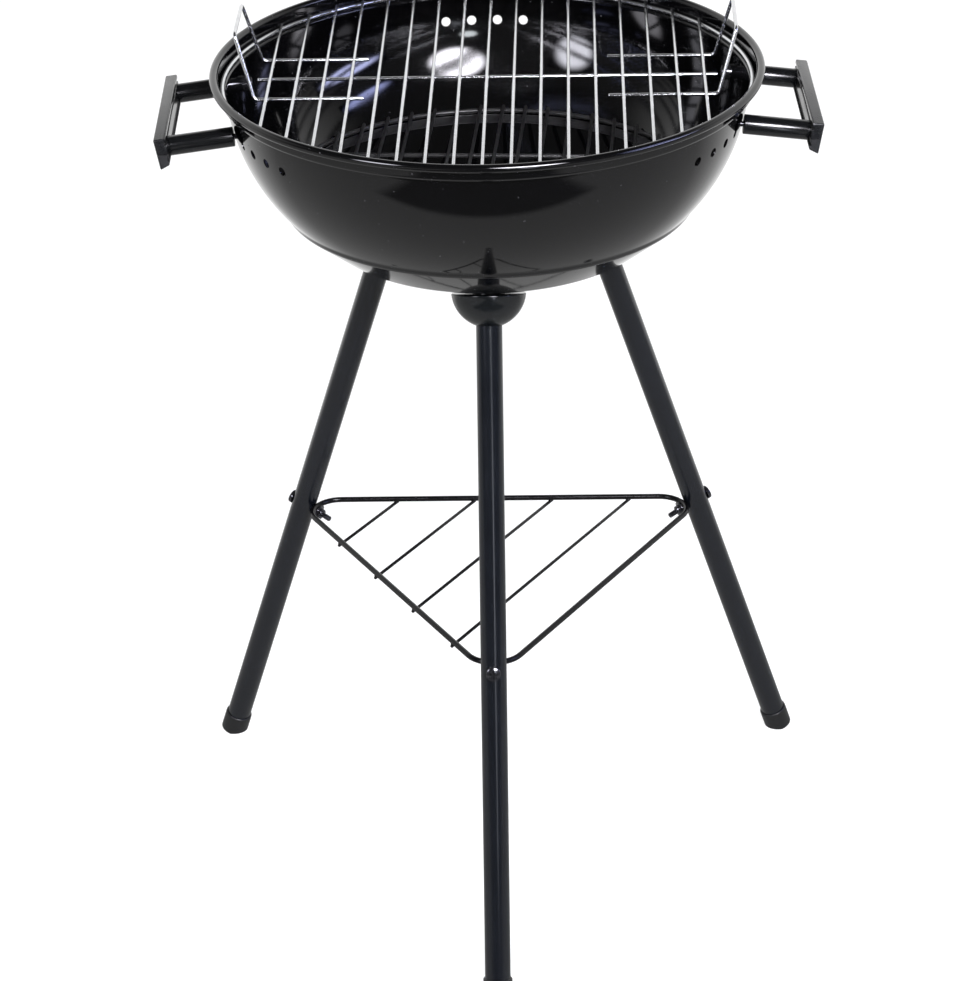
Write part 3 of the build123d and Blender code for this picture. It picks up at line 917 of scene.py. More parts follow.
@dataclass
class Bowl:
    """Pressed bowl with its rolled lip, collar, ledge, crease, dish and holes."""

    collar_depth: float = 15.0
    ledge_width: float = 6.0
    wall_arc: float = 161.0
    crease_radius: float = 170.5
    crease_inset: float = 1.5
    crease_drop: float = 4.0
    crease_round: float = 1.8
    step_radius: float = 132.5
    bend: float = 2.5
    curl: float = 290.0
    turns: int = 288
    arc_steps: int = 26
    vent_azimuths: tuple[float, ...] = (90.0, -150.0, -30.0)
    vent_count: int = 4
    vent_step: float = 6.15
    vent_diameter: float = 8.0
    vent_drop: float = 37.6
    leg_hole: float = 6.5
    handle_hole: float = 5.5
    cutter_reach: float = 6.0

    @property
    def ledge_z(self) -> float:
        """Height of the ledge that the cooking grate lies on."""
        return SIZES.rim_height - self.collar_depth

    @property
    def wall_centre(self) -> Pair:
        """Centre of the wall's round.

        Returns:
            Its radius and height.
        """
        drop = SIZES.lip_z - self.ledge_z
        reach = sqrt((self.wall_arc - SIZES.sheet) ** 2 - drop**2)
        return SIZES.collar_inner - self.ledge_width - reach, SIZES.lip_z

    def wall_radius(self, height: float) -> float:
        """Radius of the outer skin of the wall at a height."""
        centre = self.wall_centre
        return centre[0] + sqrt(self.wall_arc**2 - (centre[1] - height) ** 2)

    def skin(self) -> BMesh:
        """Draw and turn the inner skin, from the axis to the end of the curl.

        Returns:
            The single skin of the bowl.
        """
        dish, wall = SIZES.dish_arc - SIZES.sheet, self.wall_arc - SIZES.sheet
        centre = self.wall_centre
        low = degrees(asin((self.crease_radius - centre[0]) / wall)) - 90
        high = -degrees(asin((SIZES.lip_z - self.ledge_z) / wall))
        crease = (self.crease_radius, centre[1] + wall * sin(radians(low)))
        lower = (crease[0] - self.crease_inset, crease[1] - self.crease_drop)
        ledge = (SIZES.collar_inner - self.ledge_width, self.ledge_z)
        collar = (SIZES.collar_inner, self.ledge_z)
        line = Section((0.0, SIZES.dish_centre_z - dish))
        line.arc((0.0, SIZES.dish_centre_z), degrees(asin(self.step_radius / dish)), self.arc_steps)
        step = (line.tip.co.x, line.tip.co.z)
        line.to(lower, crease).arc(centre, high - low, self.arc_steps)
        line.to(collar, (SIZES.collar_inner, SIZES.lip_z))
        line.arc((SIZES.collar_inner + SIZES.lip_radius, SIZES.lip_z), -self.curl, self.arc_steps)
        line.round_corners((ledge, collar), self.bend, segments=6)
        line.round_corners((step, lower, crease), self.crease_round, segments=5)
        return line.turned(self.turns)

    def cutters(self) -> BMesh:
        """Cutters for the air holes and the bolt holes.

        Returns:
            Closed cylinders, square to the wall or along the bolts.
        """
        mesh = bmesh.new()
        near, far = -self.cutter_reach, self.cutter_reach
        centre = self.wall_centre
        drop = asin((centre[1] - SIZES.rim_height + self.vent_drop) / self.wall_arc)
        aim = Matrix.Translation((centre[0], 0, centre[1])) @ Matrix.Rotation(pi / 2 + drop, 4, "Y")
        first = -self.vent_step * (self.vent_count - 1) / 2
        for group in self.vent_azimuths:
            for index in range(self.vent_count):
                azimuth = SIZES.bowl_turn + group + first + self.vent_step * index
                place = Matrix.Rotation(radians(azimuth), 4, "Z") @ aim
                add_cylinder(mesh, self.vent_diameter / 2, self.wall_arc + near, self.wall_arc + far, place)
        for leg in LegPlace:
            add_cylinder(mesh, self.leg_hole / 2, near, far, SIZES.leg_frame(leg))
        handle = SideHandle()
        for side in Side:
            for offset in (-handle.spacing / 2, handle.spacing / 2):
                add_cylinder(mesh, self.handle_hole / 2, near, far, handle.matrix(side, offset, self))
        return mesh

    def build(self, shop: Workshop) -> None:
        """Make the bowl as one enamelled sheet with its holes.

        Args:
            shop: Workshop that finishes the piece.
        """
        mesh = self.skin()
        bmesh.ops.recalc_face_normals(mesh, faces=mesh.faces[:])
        bottom = min(mesh.faces, key=lambda face: face.calc_center_median().xy.length)
        if bottom.normal.z < 0:
            bmesh.ops.reverse_faces(mesh, faces=mesh.faces[:])
        bmesh.ops.solidify(mesh, geom=mesh.faces[:], thickness=SIZES.sheet)
        mesh = cut(mesh, self.cutters())
        shop.finish(mesh, "enamelled_bowl", ENAMEL, ["bowl_dish", "bowl_wall", "bowl_rim"])


@dataclass
class Leg:
    """One splayed tube leg with its half-ball socket, foot cap and bolt."""

    tube_wall: float = 1.2
    socket_radius: float = 30.5
    socket_inset: float = 2.5
    socket_gap: float = 0.2
    socket_edge: float = 0.8
    mouth_edge: float = 0.5
    boss_radius: float = 13.0
    boss_hole_z: float = 0.1
    boss_edge_z: float = -0.2
    bolt_hole: float = 6.5
    cap_diameter: float = 24.2
    cap_length: float = 19.5
    cap_edge: float = 1.4
    cap_inner_edge: float = 0.4
    screw_hole: float = 5.5
    bolt_diameter: float = 6.0
    bolt_thread: float = 0.4
    bolt_pitch: float = 1.0
    bolt_plain: float = 2.0
    bolt_head: float = 10.0
    bolt_head_height: float = 4.0
    bolt_chamfer: float = 0.5
    bolt_end: float = 20.2
    washer_diameter: float = 16.0

    def build(self, shop: Workshop) -> None:
        """Make the sockets, tubes, caps and bolts of the three legs.

        Args:
            shop: Workshop that finishes the pieces.
        """
        bolts = bmesh.new()
        for place in LegPlace:
            frame, word = SIZES.leg_frame(place), place.word
            socket = f"leg_socket_{word}"
            shop.finish(self.socket(), f"leg_ball_socket_{word}", GLOSS_MOULDING, [socket], frame)
            shop.finish(self.tube(), f"leg_tube_{word}", POWDER_COAT, [f"leg_{word}"], frame)
            shop.finish(self.cap(frame), f"leg_foot_cap_{word}", CAP_VINYL, [f"foot_cap_{word}"])
            join(bolts, self.bolt(), frame)
        shop.finish(bolts, "leg_hex_bolts", ZINC_STEEL, ["leg_bolts"])

    def socket(self) -> BMesh:
        """Draw the half ball with its boss, its flat face and its bore.

        Returns:
            The socket along the leg's own axis.
        """
        ball, bore, hole = self.socket_radius, SIZES.tube_bore, self.bolt_hole / 2
        centre = self.socket_gap - self.socket_inset
        mouth = centre + sqrt(ball**2 - bore**2)
        rim = sqrt(ball**2 - self.socket_inset**2)
        sweep = degrees(asin(self.socket_inset / ball)) - degrees(asin((mouth - centre) / ball))
        line = Section((hole, self.boss_hole_z), (hole, SIZES.leg_top), (bore, SIZES.leg_top), (bore, mouth))
        line.arc((0.0, centre), sweep, steps=28)
        line.to((self.boss_radius, self.socket_gap), (self.boss_radius, self.boss_edge_z)).close()
        line.round_corners([(rim, self.socket_gap)], self.socket_edge, segments=5)
        line.round_corners([(bore, mouth)], self.mouth_edge, segments=3)
        return line.turned(steps=96)

    def tube(self) -> BMesh:
        """Draw the leg tube with the cross hole for the shelf screw.

        Returns:
            The tube along the leg's own axis.
        """
        outer, top = SIZES.tube_diameter / 2, SIZES.leg_top
        inner, end = outer - self.tube_wall, SIZES.along_leg(SIZES.cap_lift) - SIZES.cap_sole
        line = Section((outer, top), (outer, end), (inner, end), (inner, top)).close()
        hole = bmesh.new()
        down = Matrix.Translation((0, 0, SIZES.along_leg(SIZES.screw_height)))
        add_cylinder(hole, self.screw_hole / 2, -2 * outer, 2 * outer, down @ Matrix.Rotation(pi / 2, 4, "Y"))
        return cut(line.turned(SIZES.turn_steps), hole)

    def cap(self, frame: Matrix) -> BMesh:
        """Draw a foot cap and cut it flat on the floor.

        Args:
            frame: Frame of the leg.

        Returns:
            The cap about the bowl's axis.
        """
        end = SIZES.along_leg(SIZES.cap_lift)
        sole, top = end - SIZES.cap_sole, end - self.cap_length
        outer, bore = self.cap_diameter / 2, SIZES.tube_bore
        line = Section((0.0, sole), (bore, sole), (bore, top), (outer, top), (outer, end), (0.0, end))
        line.round_corners([(outer, top)], self.cap_edge, segments=5)
        line.round_corners([(bore, top)], self.cap_inner_edge, segments=2)
        mesh = line.turned(SIZES.turn_steps)
        bmesh.ops.transform(mesh, matrix=frame, verts=mesh.verts[:])
        whole = [*mesh.verts, *mesh.edges, *mesh.faces]
        floor = {"plane_co": (0, 0, 0), "plane_no": (0, 0, -1)}
        bmesh.ops.bisect_plane(mesh, geom=whole, dist=SAME_POINT, clear_outer=True, **floor)
        bmesh.ops.holes_fill(mesh, edges=[edge for edge in mesh.edges if edge.is_boundary], sides=0)
        return mesh

    def bolt(self) -> BMesh:
        """Draw the hexagon bolt that holds a leg from inside the bowl.

        Returns:
            The bolt along the leg's own axis.
        """
        mesh = bmesh.new()
        inner, radius = SIZES.dish_arc - SIZES.sheet, self.bolt_diameter / 2
        sag = inner - sqrt(inner**2 - (self.washer_diameter / 2) ** 2)
        under = -SIZES.sheet - sag - SIZES.seat - SIZES.washer
        add_prism(mesh, self.bolt_head, under - self.bolt_head_height, under, self.bolt_chamfer)
        add_cylinder(mesh, radius - self.bolt_thread, under, self.bolt_end, sides=24)
        add_thread(mesh, radius, self.bolt_pitch, under + self.bolt_plain, self.bolt_end)
        return mesh


@dataclass
class Shelf:
    """Welded wire shelf with the screws, washers and nuts that hold it to the legs."""

    wire: float = 4.8
    bar_wire: float = 2.8
    bar_count: int = 4
    bar_pitch: float = 60.0
    bar_rounding: float = 0.25
    corner: float = 24.5
    overhang: float = 3.0
    weld: float = 0.4
    bead: float = 2.3
    bead_flat: float = 0.6
    screw_diameter: float = 5.0
    screw_thread: float = 0.35
    screw_tip: float = 0.6
    screw_plain: float = 0.5
    head_diameter: float = 12.0
    head_height: float = 4.0
    head_dome: float = 1.2
    head_edge: float = 0.8
    recess: tuple[float, float, float] = (7.0, 2.0, 2.6)
    washer_diameter: float = 14.0
    washer_play: float = 0.25
    washer_edge: float = 0.25
    nut_width: float = 8.0
    nut_height: float = 4.0
    nut_chamfer: float = 0.45
    overcut: float = 1.0
    tail: float = 8.0
    pitch: float = 0.8
    turn_steps: int = 48

    def corners(self) -> list[Vector]:
        """Corners of the shelf's centre line, one at each leg.

        Returns:
            A point for each leg.
        """
        tilt = radians(SIZES.leg_tilt)
        along = SIZES.dish_arc + SIZES.along_leg(SIZES.screw_height)
        along -= (self.screw_diameter + self.wire) / 2 + SIZES.seat
        inward = (SIZES.tube_diameter + self.wire) / 2 + SIZES.seat
        reach = along * sin(tilt) - inward * cos(tilt) + self.corner
        height = SIZES.dish_centre_z - along * cos(tilt) - inward * sin(tilt)
        corner = Vector((reach, 0, height))
        return [Matrix.Rotation(radians(place.value), 3, "Z") @ corner for place in LegPlace]

    def washer_at(self) -> float:
        """Distance from a leg axis to the washer that traps the shelf's wire.

        Returns:
            Distance in millimetres.
        """
        over = (self.screw_diameter + self.wire) / 2
        half_chord = sqrt((self.washer_diameter / 2) ** 2 - over**2)
        inside = self.corner - self.wire / 2
        bulge = inside - sqrt(inside**2 - half_chord**2)
        return SIZES.tube_diameter / 2 + self.wire + bulge + SIZES.seat

    def build(self, shop: Workshop) -> None:
        """Make the shelf and its fasteners.

        Args:
            shop: Workshop that finishes the pieces.
        """
        shop.finish(self.frame(), "shelf_wirework", SHELF_PAINT, ["wire_shelf"])
        down = Matrix.Translation((0, 0, SIZES.along_leg(SIZES.screw_height)))
        for draw, name, node in (
            (self.screw, "shelf_cross_screws", "shelf_screws"),
            (self.washer, "shelf_flat_washers", "shelf_washers"),
            (self.nut, "shelf_hex_nuts", "shelf_nuts"),
        ):
            mesh = bmesh.new()
            for place in LegPlace:
                join(mesh, draw(), SIZES.leg_frame(place) @ down @ Matrix.Rotation(-pi / 2, 4, "Y"))
            shop.finish(mesh, name, BLACK_STEEL, [node])

    def frame(self) -> BMesh:
        """Draw the rounded triangle and the bars welded under it.

        Returns:
            The wirework about the bowl's axis.
        """
        mesh = bmesh.new()
        front, right, left = self.corners()
        WireRun(mesh, self.wire, sides=20).follow([left, front, right], self.corner, closed=True, steps=14)
        bmesh.ops.remove_doubles(mesh, verts=mesh.verts[:], dist=10 * SAME_POINT)
        under = Vector((0, 0, self.weld - (self.wire + self.bar_wire) / 2))
        over = (right - front).normalized() * self.overhang
        depth = (left - front.lerp(right, 0.5)).length
        shares = [1 - index * self.bar_pitch / depth for index in range(1, self.bar_count + 1)]
        ends = [(left.lerp(front, share), left.lerp(right, share)) for share in shares]
        bars = WireRun(mesh, self.bar_wire)
        for start, end in ends:
            bars.rod(start + under - over, end + under + over)
        bars.cap_ends(self.bar_rounding)
        for crossing in (point for pair in ends for point in pair):
            add_weld(mesh, crossing + Vector((0, 0, -self.wire / 2)), self.bead, self.bead_flat)
        return mesh

    def screw(self) -> BMesh:
        """Draw a pan-head screw with its cross recess and its thread.

        Returns:
            The screw along its own axis.
        """
        seat = -SIZES.tube_diameter / 2
        top, head = seat - self.head_height, self.head_diameter / 2
        edge = top + self.head_dome
        shank, tip = self.screw_diameter / 2 - self.screw_thread, self.screw_tip
        end = self.washer_at() + SIZES.washer + self.nut_height + self.tail
        dome = (head**2 + self.head_dome**2) / (2 * self.head_dome)
        line = Section((0.0, end), (shank - tip, end), (shank, end - tip), (shank, seat))
        line.to((head, seat), (head, edge))
        line.arc((0.0, top + dome), -degrees(asin(head / dome)), steps=12)
        line.round_corners([(head, edge)], self.head_edge, segments=4)
        mesh = cut_cross(line.turned(self.turn_steps), top, self.recess)
        add_thread(mesh, self.screw_diameter / 2, self.pitch, SIZES.tube_diameter / 2, end - self.screw_plain)
        return mesh

    def washer(self) -> BMesh:
        """Draw a flat washer along the screw.

        Returns:
            The washer along the screw's own axis.
        """
        inner, outer = self.screw_diameter / 2 + self.washer_play, self.washer_diameter / 2
        start = self.washer_at()
        end = start + SIZES.washer
        line = Section((inner, start), (outer, start), (outer, end), (inner, end)).close()
        line.round_corners([(outer, start), (outer, end)], self.washer_edge, segments=2)
        return line.turned(self.turn_steps)

    def nut(self) -> BMesh:
        """Draw a chamfered hexagon nut with its bore.

        Returns:
            The nut along the screw's own axis.
        """
        mesh, bore = bmesh.new(), bmesh.new()
        start = self.washer_at() + SIZES.washer
        end = start + self.nut_height
        add_prism(mesh, self.nut_width, start, end, self.nut_chamfer)
        add_cylinder(bore, self.screw_diameter / 2 + SIZES.slip, start - self.overcut, end + self.overcut)
        return cut(mesh, bore)


@dataclass
class SideHandle:
    """A grooved grip bar on two tubes, bolted through the bowl wall."""

    drop: float = 35.2
    slope: float = 7.25
    spacing: float = 118.3
    tube_diameter: float = 16.0
    tube_wall: float = 1.0
    tube_length: float = 53.0
    tube_end: float = 2.0
    tube_edge: float = 0.4
    bolt_diameter: float = 5.0
    bolt_play: float = 0.25
    bolt_thread: float = 0.35
    bolt_pitch: float = 0.8
    bolt_plain: float = 1.0
    bolt_head: float = 10.0
    bolt_head_height: float = 3.2
    recess: tuple[float, float, float] = (5.2, 1.1, 1.4)
    washer_diameter: float = 13.0
    washer_edge: float = 0.8
    grip_length: float = 147.5
    grip_top: float = 11.7
    grip_bottom: float = -14.3
    grip_inner_bottom: float = -11.1
    grip_thickness: float = 9.5
    grip_bottom_thickness: float = 8.0
    grip_corner: float = 1.2
    groove_width: float = 2.4
    groove_depth: float = 1.2
    groove_edge: float = 0.35
    grooves_at: tuple[float, ...] = (-7.0, 7.0)
    insert_diameter: float = 8.0
    insert_length: float = 6.5
    insert_mouth: float = 2.0
    seat_points: int = 72

    def reach(self, bowl: Bowl) -> float:
        """Distance from the bowl's axis to the line through both bolts at the wall."""
        return sqrt(bowl.wall_radius(SIZES.rim_height - self.drop) ** 2 - (self.spacing / 2) ** 2)

    def matrix(self, side: Side, offset: float, bowl: Bowl) -> Matrix:
        """Frame of a handle bolt at the bowl wall: +Z out along the bolt, +X up.

        Args:
            side: Side of the bowl.
            offset: Distance from the middle of the handle.
            bowl: Bowl that carries the handle.

        Returns:
            Matrix from the handle's own millimetres to those of the bowl.
        """
        place = Matrix.Translation((self.reach(bowl), offset, SIZES.rim_height - self.drop))
        turn = Matrix.Rotation(radians(SIZES.bowl_turn + side.value), 4, "Z")
        return turn @ place @ lean_out(radians(90 - self.slope))

    def tube_start(self, bowl: Bowl) -> float:
        """Distance out along a bolt at which a square tube end meets the wall.

        Args:
            bowl: Bowl that the tube stands against.

        Returns:
            Distance in millimetres.
        """
        slope, radius = radians(self.slope), self.tube_diameter / 2
        starts = []
        for index in range(self.seat_points):
            turn = 2 * pi * index / self.seat_points
            up, across = radius * cos(turn), self.spacing / 2 + radius * sin(turn)
            wall = sqrt(bowl.wall_radius(SIZES.rim_height - self.drop + up * cos(slope)) ** 2 - across**2)
            starts.append((wall - self.reach(bowl) - up * sin(slope)) / cos(slope))
        return max(starts) + SIZES.seat

    def build(self, shop: Workshop, bowl: Bowl) -> None:
        """Make both handles with their tubes and bolts.

        Args:
            shop: Workshop that finishes the pieces.
            bowl: Bowl that carries the handles.
        """
        start = self.tube_start(bowl)
        bolts = bmesh.new()
        for side in Side:
            name = f"grip_{side.word}"
            shop.finish(self.grip(start), f"moulded_{name}", GRIP_NYLON, [name], self.matrix(side, 0.0, bowl))
            front = -self.spacing / 2 if side is Side.RIGHT else self.spacing / 2
            for end, offset in (("front", front), ("rear", -front)):
                place = self.matrix(side, offset, bowl)
                node = f"handle_tube_{side.word}_{end}"
                shop.finish(self.tube(start), f"painted_{node}", HANDLE_PAINT, [node], place)
                join(bolts, self.bolt(start, bowl), place)
        shop.finish(bolts, "handle_pan_bolts", BLACK_STEEL, ["handle_bolts"])

    def tube(self, start: float) -> BMesh:
        """Draw a handle tube, closed towards the bowl but for its bolt hole.

        Args:
            start: Distance of its inner end from the bolt's frame.

        Returns:
            The tube along the bolt.
        """
        outer, hole = self.tube_diameter / 2, self.bolt_diameter / 2 + self.bolt_play
        inner, end, floor = outer - self.tube_wall, start + self.tube_length, start + self.tube_end
        line = Section((hole, start), (outer, start), (outer, end), (inner, end))
        line.to((inner, floor), (hole, floor)).close()
        line.round_corners([(outer, start), (outer, end)], self.tube_edge, segments=3)
        return line.turned(SIZES.turn_steps)

    def grip(self, start: float) -> BMesh:
        """Draw the grip bar with its tapered section, grooves and rounded edges.

        Args:
            start: Distance of the tubes' inner ends from the bolt's frame.

        Returns:
            The grip in the frame of the handle's middle.
        """
        mesh = bmesh.new()
        near = start + self.tube_length
        floor = near + self.groove_depth
        outline = [
            (self.grip_top, near),
            (self.grip_top, near + self.grip_thickness),
            (self.grip_bottom, near + self.grip_bottom_thickness),
            (self.grip_inner_bottom, near),
        ]
        corners = {(round(up, 3), round(out, 3)) for up, out in outline}
        for middle in self.grooves_at:
            low, high = middle - self.groove_width / 2, middle + self.groove_width / 2
            outline += [(low, near), (low, floor), (high, floor), (high, near)]
        face = mesh.faces.new([mesh.verts.new((up, -self.grip_length / 2, out)) for up, out in outline])
        made = bmesh.ops.extrude_face_region(mesh, geom=[face])["geom"]
        moved = [item for item in made if isinstance(item, BMVert)]
        bmesh.ops.translate(mesh, verts=moved, vec=(0, self.grip_length, 0))
        bmesh.ops.recalc_face_normals(mesh, faces=mesh.faces[:])
        outer, inner = [], []
        for edge in mesh.edges:
            ends = {(round(vert.co.x, 3), round(vert.co.z, 3)) for vert in edge.verts}
            (outer if ends <= corners else inner).append(edge)
        for edges, size, count in ((outer, self.grip_corner, 4), (inner, self.groove_edge, 2)):
            bevel(mesh, [edge for edge in edges if edge.is_valid], size, count, clamp_overlap=True)
        sockets = bmesh.new()
        bore = (self.insert_diameter + SIZES.slip) / 2
        for offset in (-self.spacing / 2, self.spacing / 2):
            place = Matrix.Translation((0, offset, 0))
            add_cylinder(sockets, bore, near - self.insert_mouth, near + self.insert_length, place)
        return cut(mesh, sockets)

    def bolt(self, start: float, bowl: Bowl) -> BMesh:
        """Draw a round-headed bolt from inside the bowl into the grip.

        Args:
            start: Distance of the tube's inner end from the bolt's frame.
            bowl: Bowl that the bolt goes through.

        Returns:
            The bolt along its own axis.
        """
        slant = tan(asin(self.spacing / 2 / bowl.wall_radius(SIZES.rim_height - self.drop)))
        seat = -(2 * SIZES.sheet + slant * self.washer_diameter / 2 + self.washer_edge)
        head, shank = self.bolt_head / 2, self.bolt_diameter / 2 - self.bolt_thread
        end = start + self.tube_length + self.insert_length - 2 * SIZES.seat
        top = seat - self.bolt_head_height
        line = Section((0.0, end), (shank, end), (shank, seat), (head, seat), (head, top), (0.0, top))
        line.round_corners([(head, top)], self.bolt_head_height / 2, segments=6)
        mesh = cut_cross(line.turned(steps=40), top, self.recess)
        add_thread(mesh, self.bolt_diameter / 2, self.bolt_pitch, seat + self.bolt_plain, end)
        return mesh


@dataclass
class WireGrate:
    """Round welded grate: a ring, parallel bars on it and rods under the bars."""

    look: Finish
    body: Body
    ring_radius: float
    bar_wire: float
    bar_pitch: float
    bar_bead: float
    rod_wire: float
    rod_bead: float
    ring_wire: float = 4.0
    ring_sides: int = 20
    ring_steps: int = 240
    bar_count: int = 17
    bar_sides: int = 16
    rounding: float = 0.3
    rod_rounding: float = 0.3
    weld: float = 0.4

    def bar_places(self) -> list[float]:
        """Distances of the bars from the middle of the grate."""
        return [(index - (self.bar_count - 1) / 2) * self.bar_pitch for index in range(self.bar_count)]

    def levels(self, ring_z: float) -> Pair:
        """Heights of the bars and rods for a height of the ring."""
        bar_z = ring_z + (self.ring_wire + self.bar_wire) / 2 + SIZES.seat
        return bar_z, bar_z - (self.bar_wire + self.rod_wire) / 2 - SIZES.seat

    def ring(self, height: float) -> BMesh:
        """Turn the ring about the bowl's axis.

        Args:
            height: Height of its centre line.

        Returns:
            The ring.
        """
        mesh = bmesh.new()
        run = WireRun(mesh, self.ring_wire, self.ring_sides)
        run.start(Vector((self.ring_radius, 0, height)), Vector((0, 1, 0)))
        spin(mesh, run.open_end, (0, 0, 1), 2 * pi, self.ring_steps, cent=(0, 0, height), use_merge=True)
        bmesh.ops.remove_doubles(mesh, verts=mesh.verts[:], dist=SAME_POINT)
        return mesh

    def bars(self, ring_z: float, bar_z: float) -> BMesh:
        """Draw the parallel bars with the weld beads where they cross the ring.

        Args:
            ring_z: Height of the ring.
            bar_z: Height of the bars.

        Returns:
            The bars.
        """
        mesh = bmesh.new()
        reach = self.ring_radius + self.ring_wire / 2 - self.weld
        run = WireRun(mesh, self.bar_wire, self.bar_sides)
        for across in self.bar_places():
            half = sqrt(reach**2 - across**2)
            run.rod(Vector((across, -half, bar_z)), Vector((across, half, bar_z)))
        run.cap_ends(self.rounding)
        for across in self.bar_places():
            half = sqrt(self.ring_radius**2 - across**2)
            for end in (-half, half):
                add_weld(mesh, Vector((across, end, ring_z + self.ring_wire / 2)), self.bar_bead)
        return mesh

    def rods(self, height: float, half: float, offsets: Sequence[float]) -> BMesh:
        """Draw the rods under the bars with the weld beads where they cross.

        Args:
            height: Height of the rods.
            half: Half of their length.
            offsets: Distance of each rod from the middle.

        Returns:
            The rods.
        """
        mesh = bmesh.new()
        run = WireRun(mesh, self.rod_wire)
        for offset in offsets:
            run.rod(Vector((-half, offset, height)), Vector((half, offset, height)))
        run.cap_ends(self.rod_rounding)
        for across in self.bar_places():
            for offset in offsets:
                if abs(across) < half:
                    add_weld(mesh, Vector((across, offset, height + self.rod_wire / 2)), self.rod_bead)
        return mesh


@dataclass
class CookingGrate(WireGrate):
    """Bright wire grate that lies on the ledge, with its two bent lifting handles."""

    look: Finish = CHROME_WIRE
    body: Body = Body.COOKING_GRATE
    ring_play: float = 1.3
    ring_radius: float = SIZES.collar_inner - ring_play - WireGrate.ring_wire / 2
    bar_wire: float = 2.8
    bar_pitch: float = 22.0
    bar_bead: float = 1.7
    rod_wire: float = 3.0
    rod_bead: float = 1.5
    rod_inset: float = 27.7
    lift_wire: float = 3.0
    lift_spacing: float = 90.0
    lift_top: float = 72.0
    lift_foot: float = 88.0
    lift_inset: float = 28.7
    lift_lean: float = 14.0
    lift_height: float = 52.0
    lift_bend: float = 4.5

    def build(self, shop: Workshop, ledge_z: float) -> None:
        """Make the ring, bars, cross rod and lifting handles.

        Args:
            shop: Workshop that finishes the pieces.
            ledge_z: Height of the ledge that carries the grate.
        """
        ring_z = ledge_z + self.ring_wire / 2
        bar_z, rod_z = self.levels(ring_z)
        rods = self.rods(rod_z, self.ring_radius - self.rod_inset, (0.0,))
        shop.finish(self.ring(ring_z), "chrome_grate_ring", self.look, ["grate_ring"], body=self.body)
        shop.finish(self.bars(ring_z, bar_z), "chrome_grate_bars", self.look, ["grate_bars"], body=self.body)
        shop.finish(rods, "chrome_grate_rod", self.look, ["grate_rod"], body=self.body)
        low = bar_z - (self.bar_wire + self.lift_wire) / 2 - SIZES.seat
        for side in Side:
            name = f"grate_handle_{side.word}"
            turn = Matrix.Rotation(radians(side.value), 4, "Z")
            shop.finish(self.lift(low), f"chrome_{name}", self.look, [name], turn, self.body)

    def lift(self, low: float) -> BMesh:
        """Draw a lifting handle, bent from one wire, with its weld beads.

        Args:
            low: Height of its feet.

        Returns:
            The handle on the right side.
        """
        mesh = bmesh.new()
        out = self.ring_radius - self.lift_inset
        inner, tip = out - self.lift_foot, out + self.lift_lean
        half, top = self.lift_spacing / 2, self.lift_top / 2
        one_side = [(inner, half, low), (out, half, low), (tip, top, low + self.lift_height)]
        other_side = [(x, -y, z) for x, y, z in reversed(one_side)]
        run = WireRun(mesh, self.lift_wire)
        run.follow([Vector(point) for point in one_side + other_side], self.lift_bend, closed=False, steps=8)
        run.cap_ends(self.rounding)
        for across in self.bar_places():
            if inner < across < out:
                for end in (-half, half):
                    add_weld(mesh, Vector((across, end, low + self.lift_wire / 2)), self.rod_bead)
        return mesh


@dataclass
class CoalGrate(WireGrate):
    """Dark wire grate that rests in the round of the bowl wall."""

    look: Finish = COAL_PAINT
    body: Body = Body.COAL_GRATE
    ring_radius: float = 171.5
    bar_wire: float = 3.0
    bar_pitch: float = 19.5
    bar_sides: int = 14
    bar_bead: float = 1.8
    rod_wire: float = 4.0
    rod_bead: float = 1.7
    rod_rounding: float = 0.1
    rod_spacing: float = 130.0
    turn: float = -3.0
    rest: float = 0.3

    def build(self, shop: Workshop, bowl: Bowl) -> None:
        """Make the ring, bars and rods of the coal grate.

        Args:
            shop: Workshop that finishes the pieces.
            bowl: Bowl that the grate rests in.
        """
        centre = bowl.wall_centre
        arc = bowl.wall_arc - SIZES.sheet - self.ring_wire / 2 - self.rest
        ring_z = centre[1] - sqrt(arc**2 - (self.ring_radius - centre[0]) ** 2)
        bar_z, rod_z = self.levels(ring_z)
        aside = self.rod_spacing / 2
        inside = self.ring_radius - self.ring_wire / 2 - SIZES.seat
        rods = self.rods(rod_z, sqrt(inside**2 - (aside + self.rod_wire / 2) ** 2), (-aside, aside))
        turn = Matrix.Rotation(radians(self.turn), 4, "Z")
        shop.finish(self.ring(ring_z), "coal_grate_ring", self.look, ["coal_ring"], body=self.body)
        shop.finish(self.bars(ring_z, bar_z), "coal_grate_bars", self.look, ["coal_bars"], turn, self.body)
        shop.finish(rods, "coal_grate_rods", self.look, ["coal_rods"], turn, self.body)


# Studio
def way_to(azimuth: float, elevation: float) -> Vector:
    """Direction from the grill to something seen from it, from the front and from the level."""
    turn, rise = radians(azimuth), radians(elevation)
    return Vector((sin(turn) * cos(rise), -cos(turn) * cos(rise), sin(rise)))


def seen_directly(tree: NodeTree, path: Node) -> NodeSocket:
    """One for rays that come straight from the camera."""
    return reckon(tree, "MAXIMUM", path.outputs["Is Camera Ray"], path.outputs["Is Transmission Ray"])


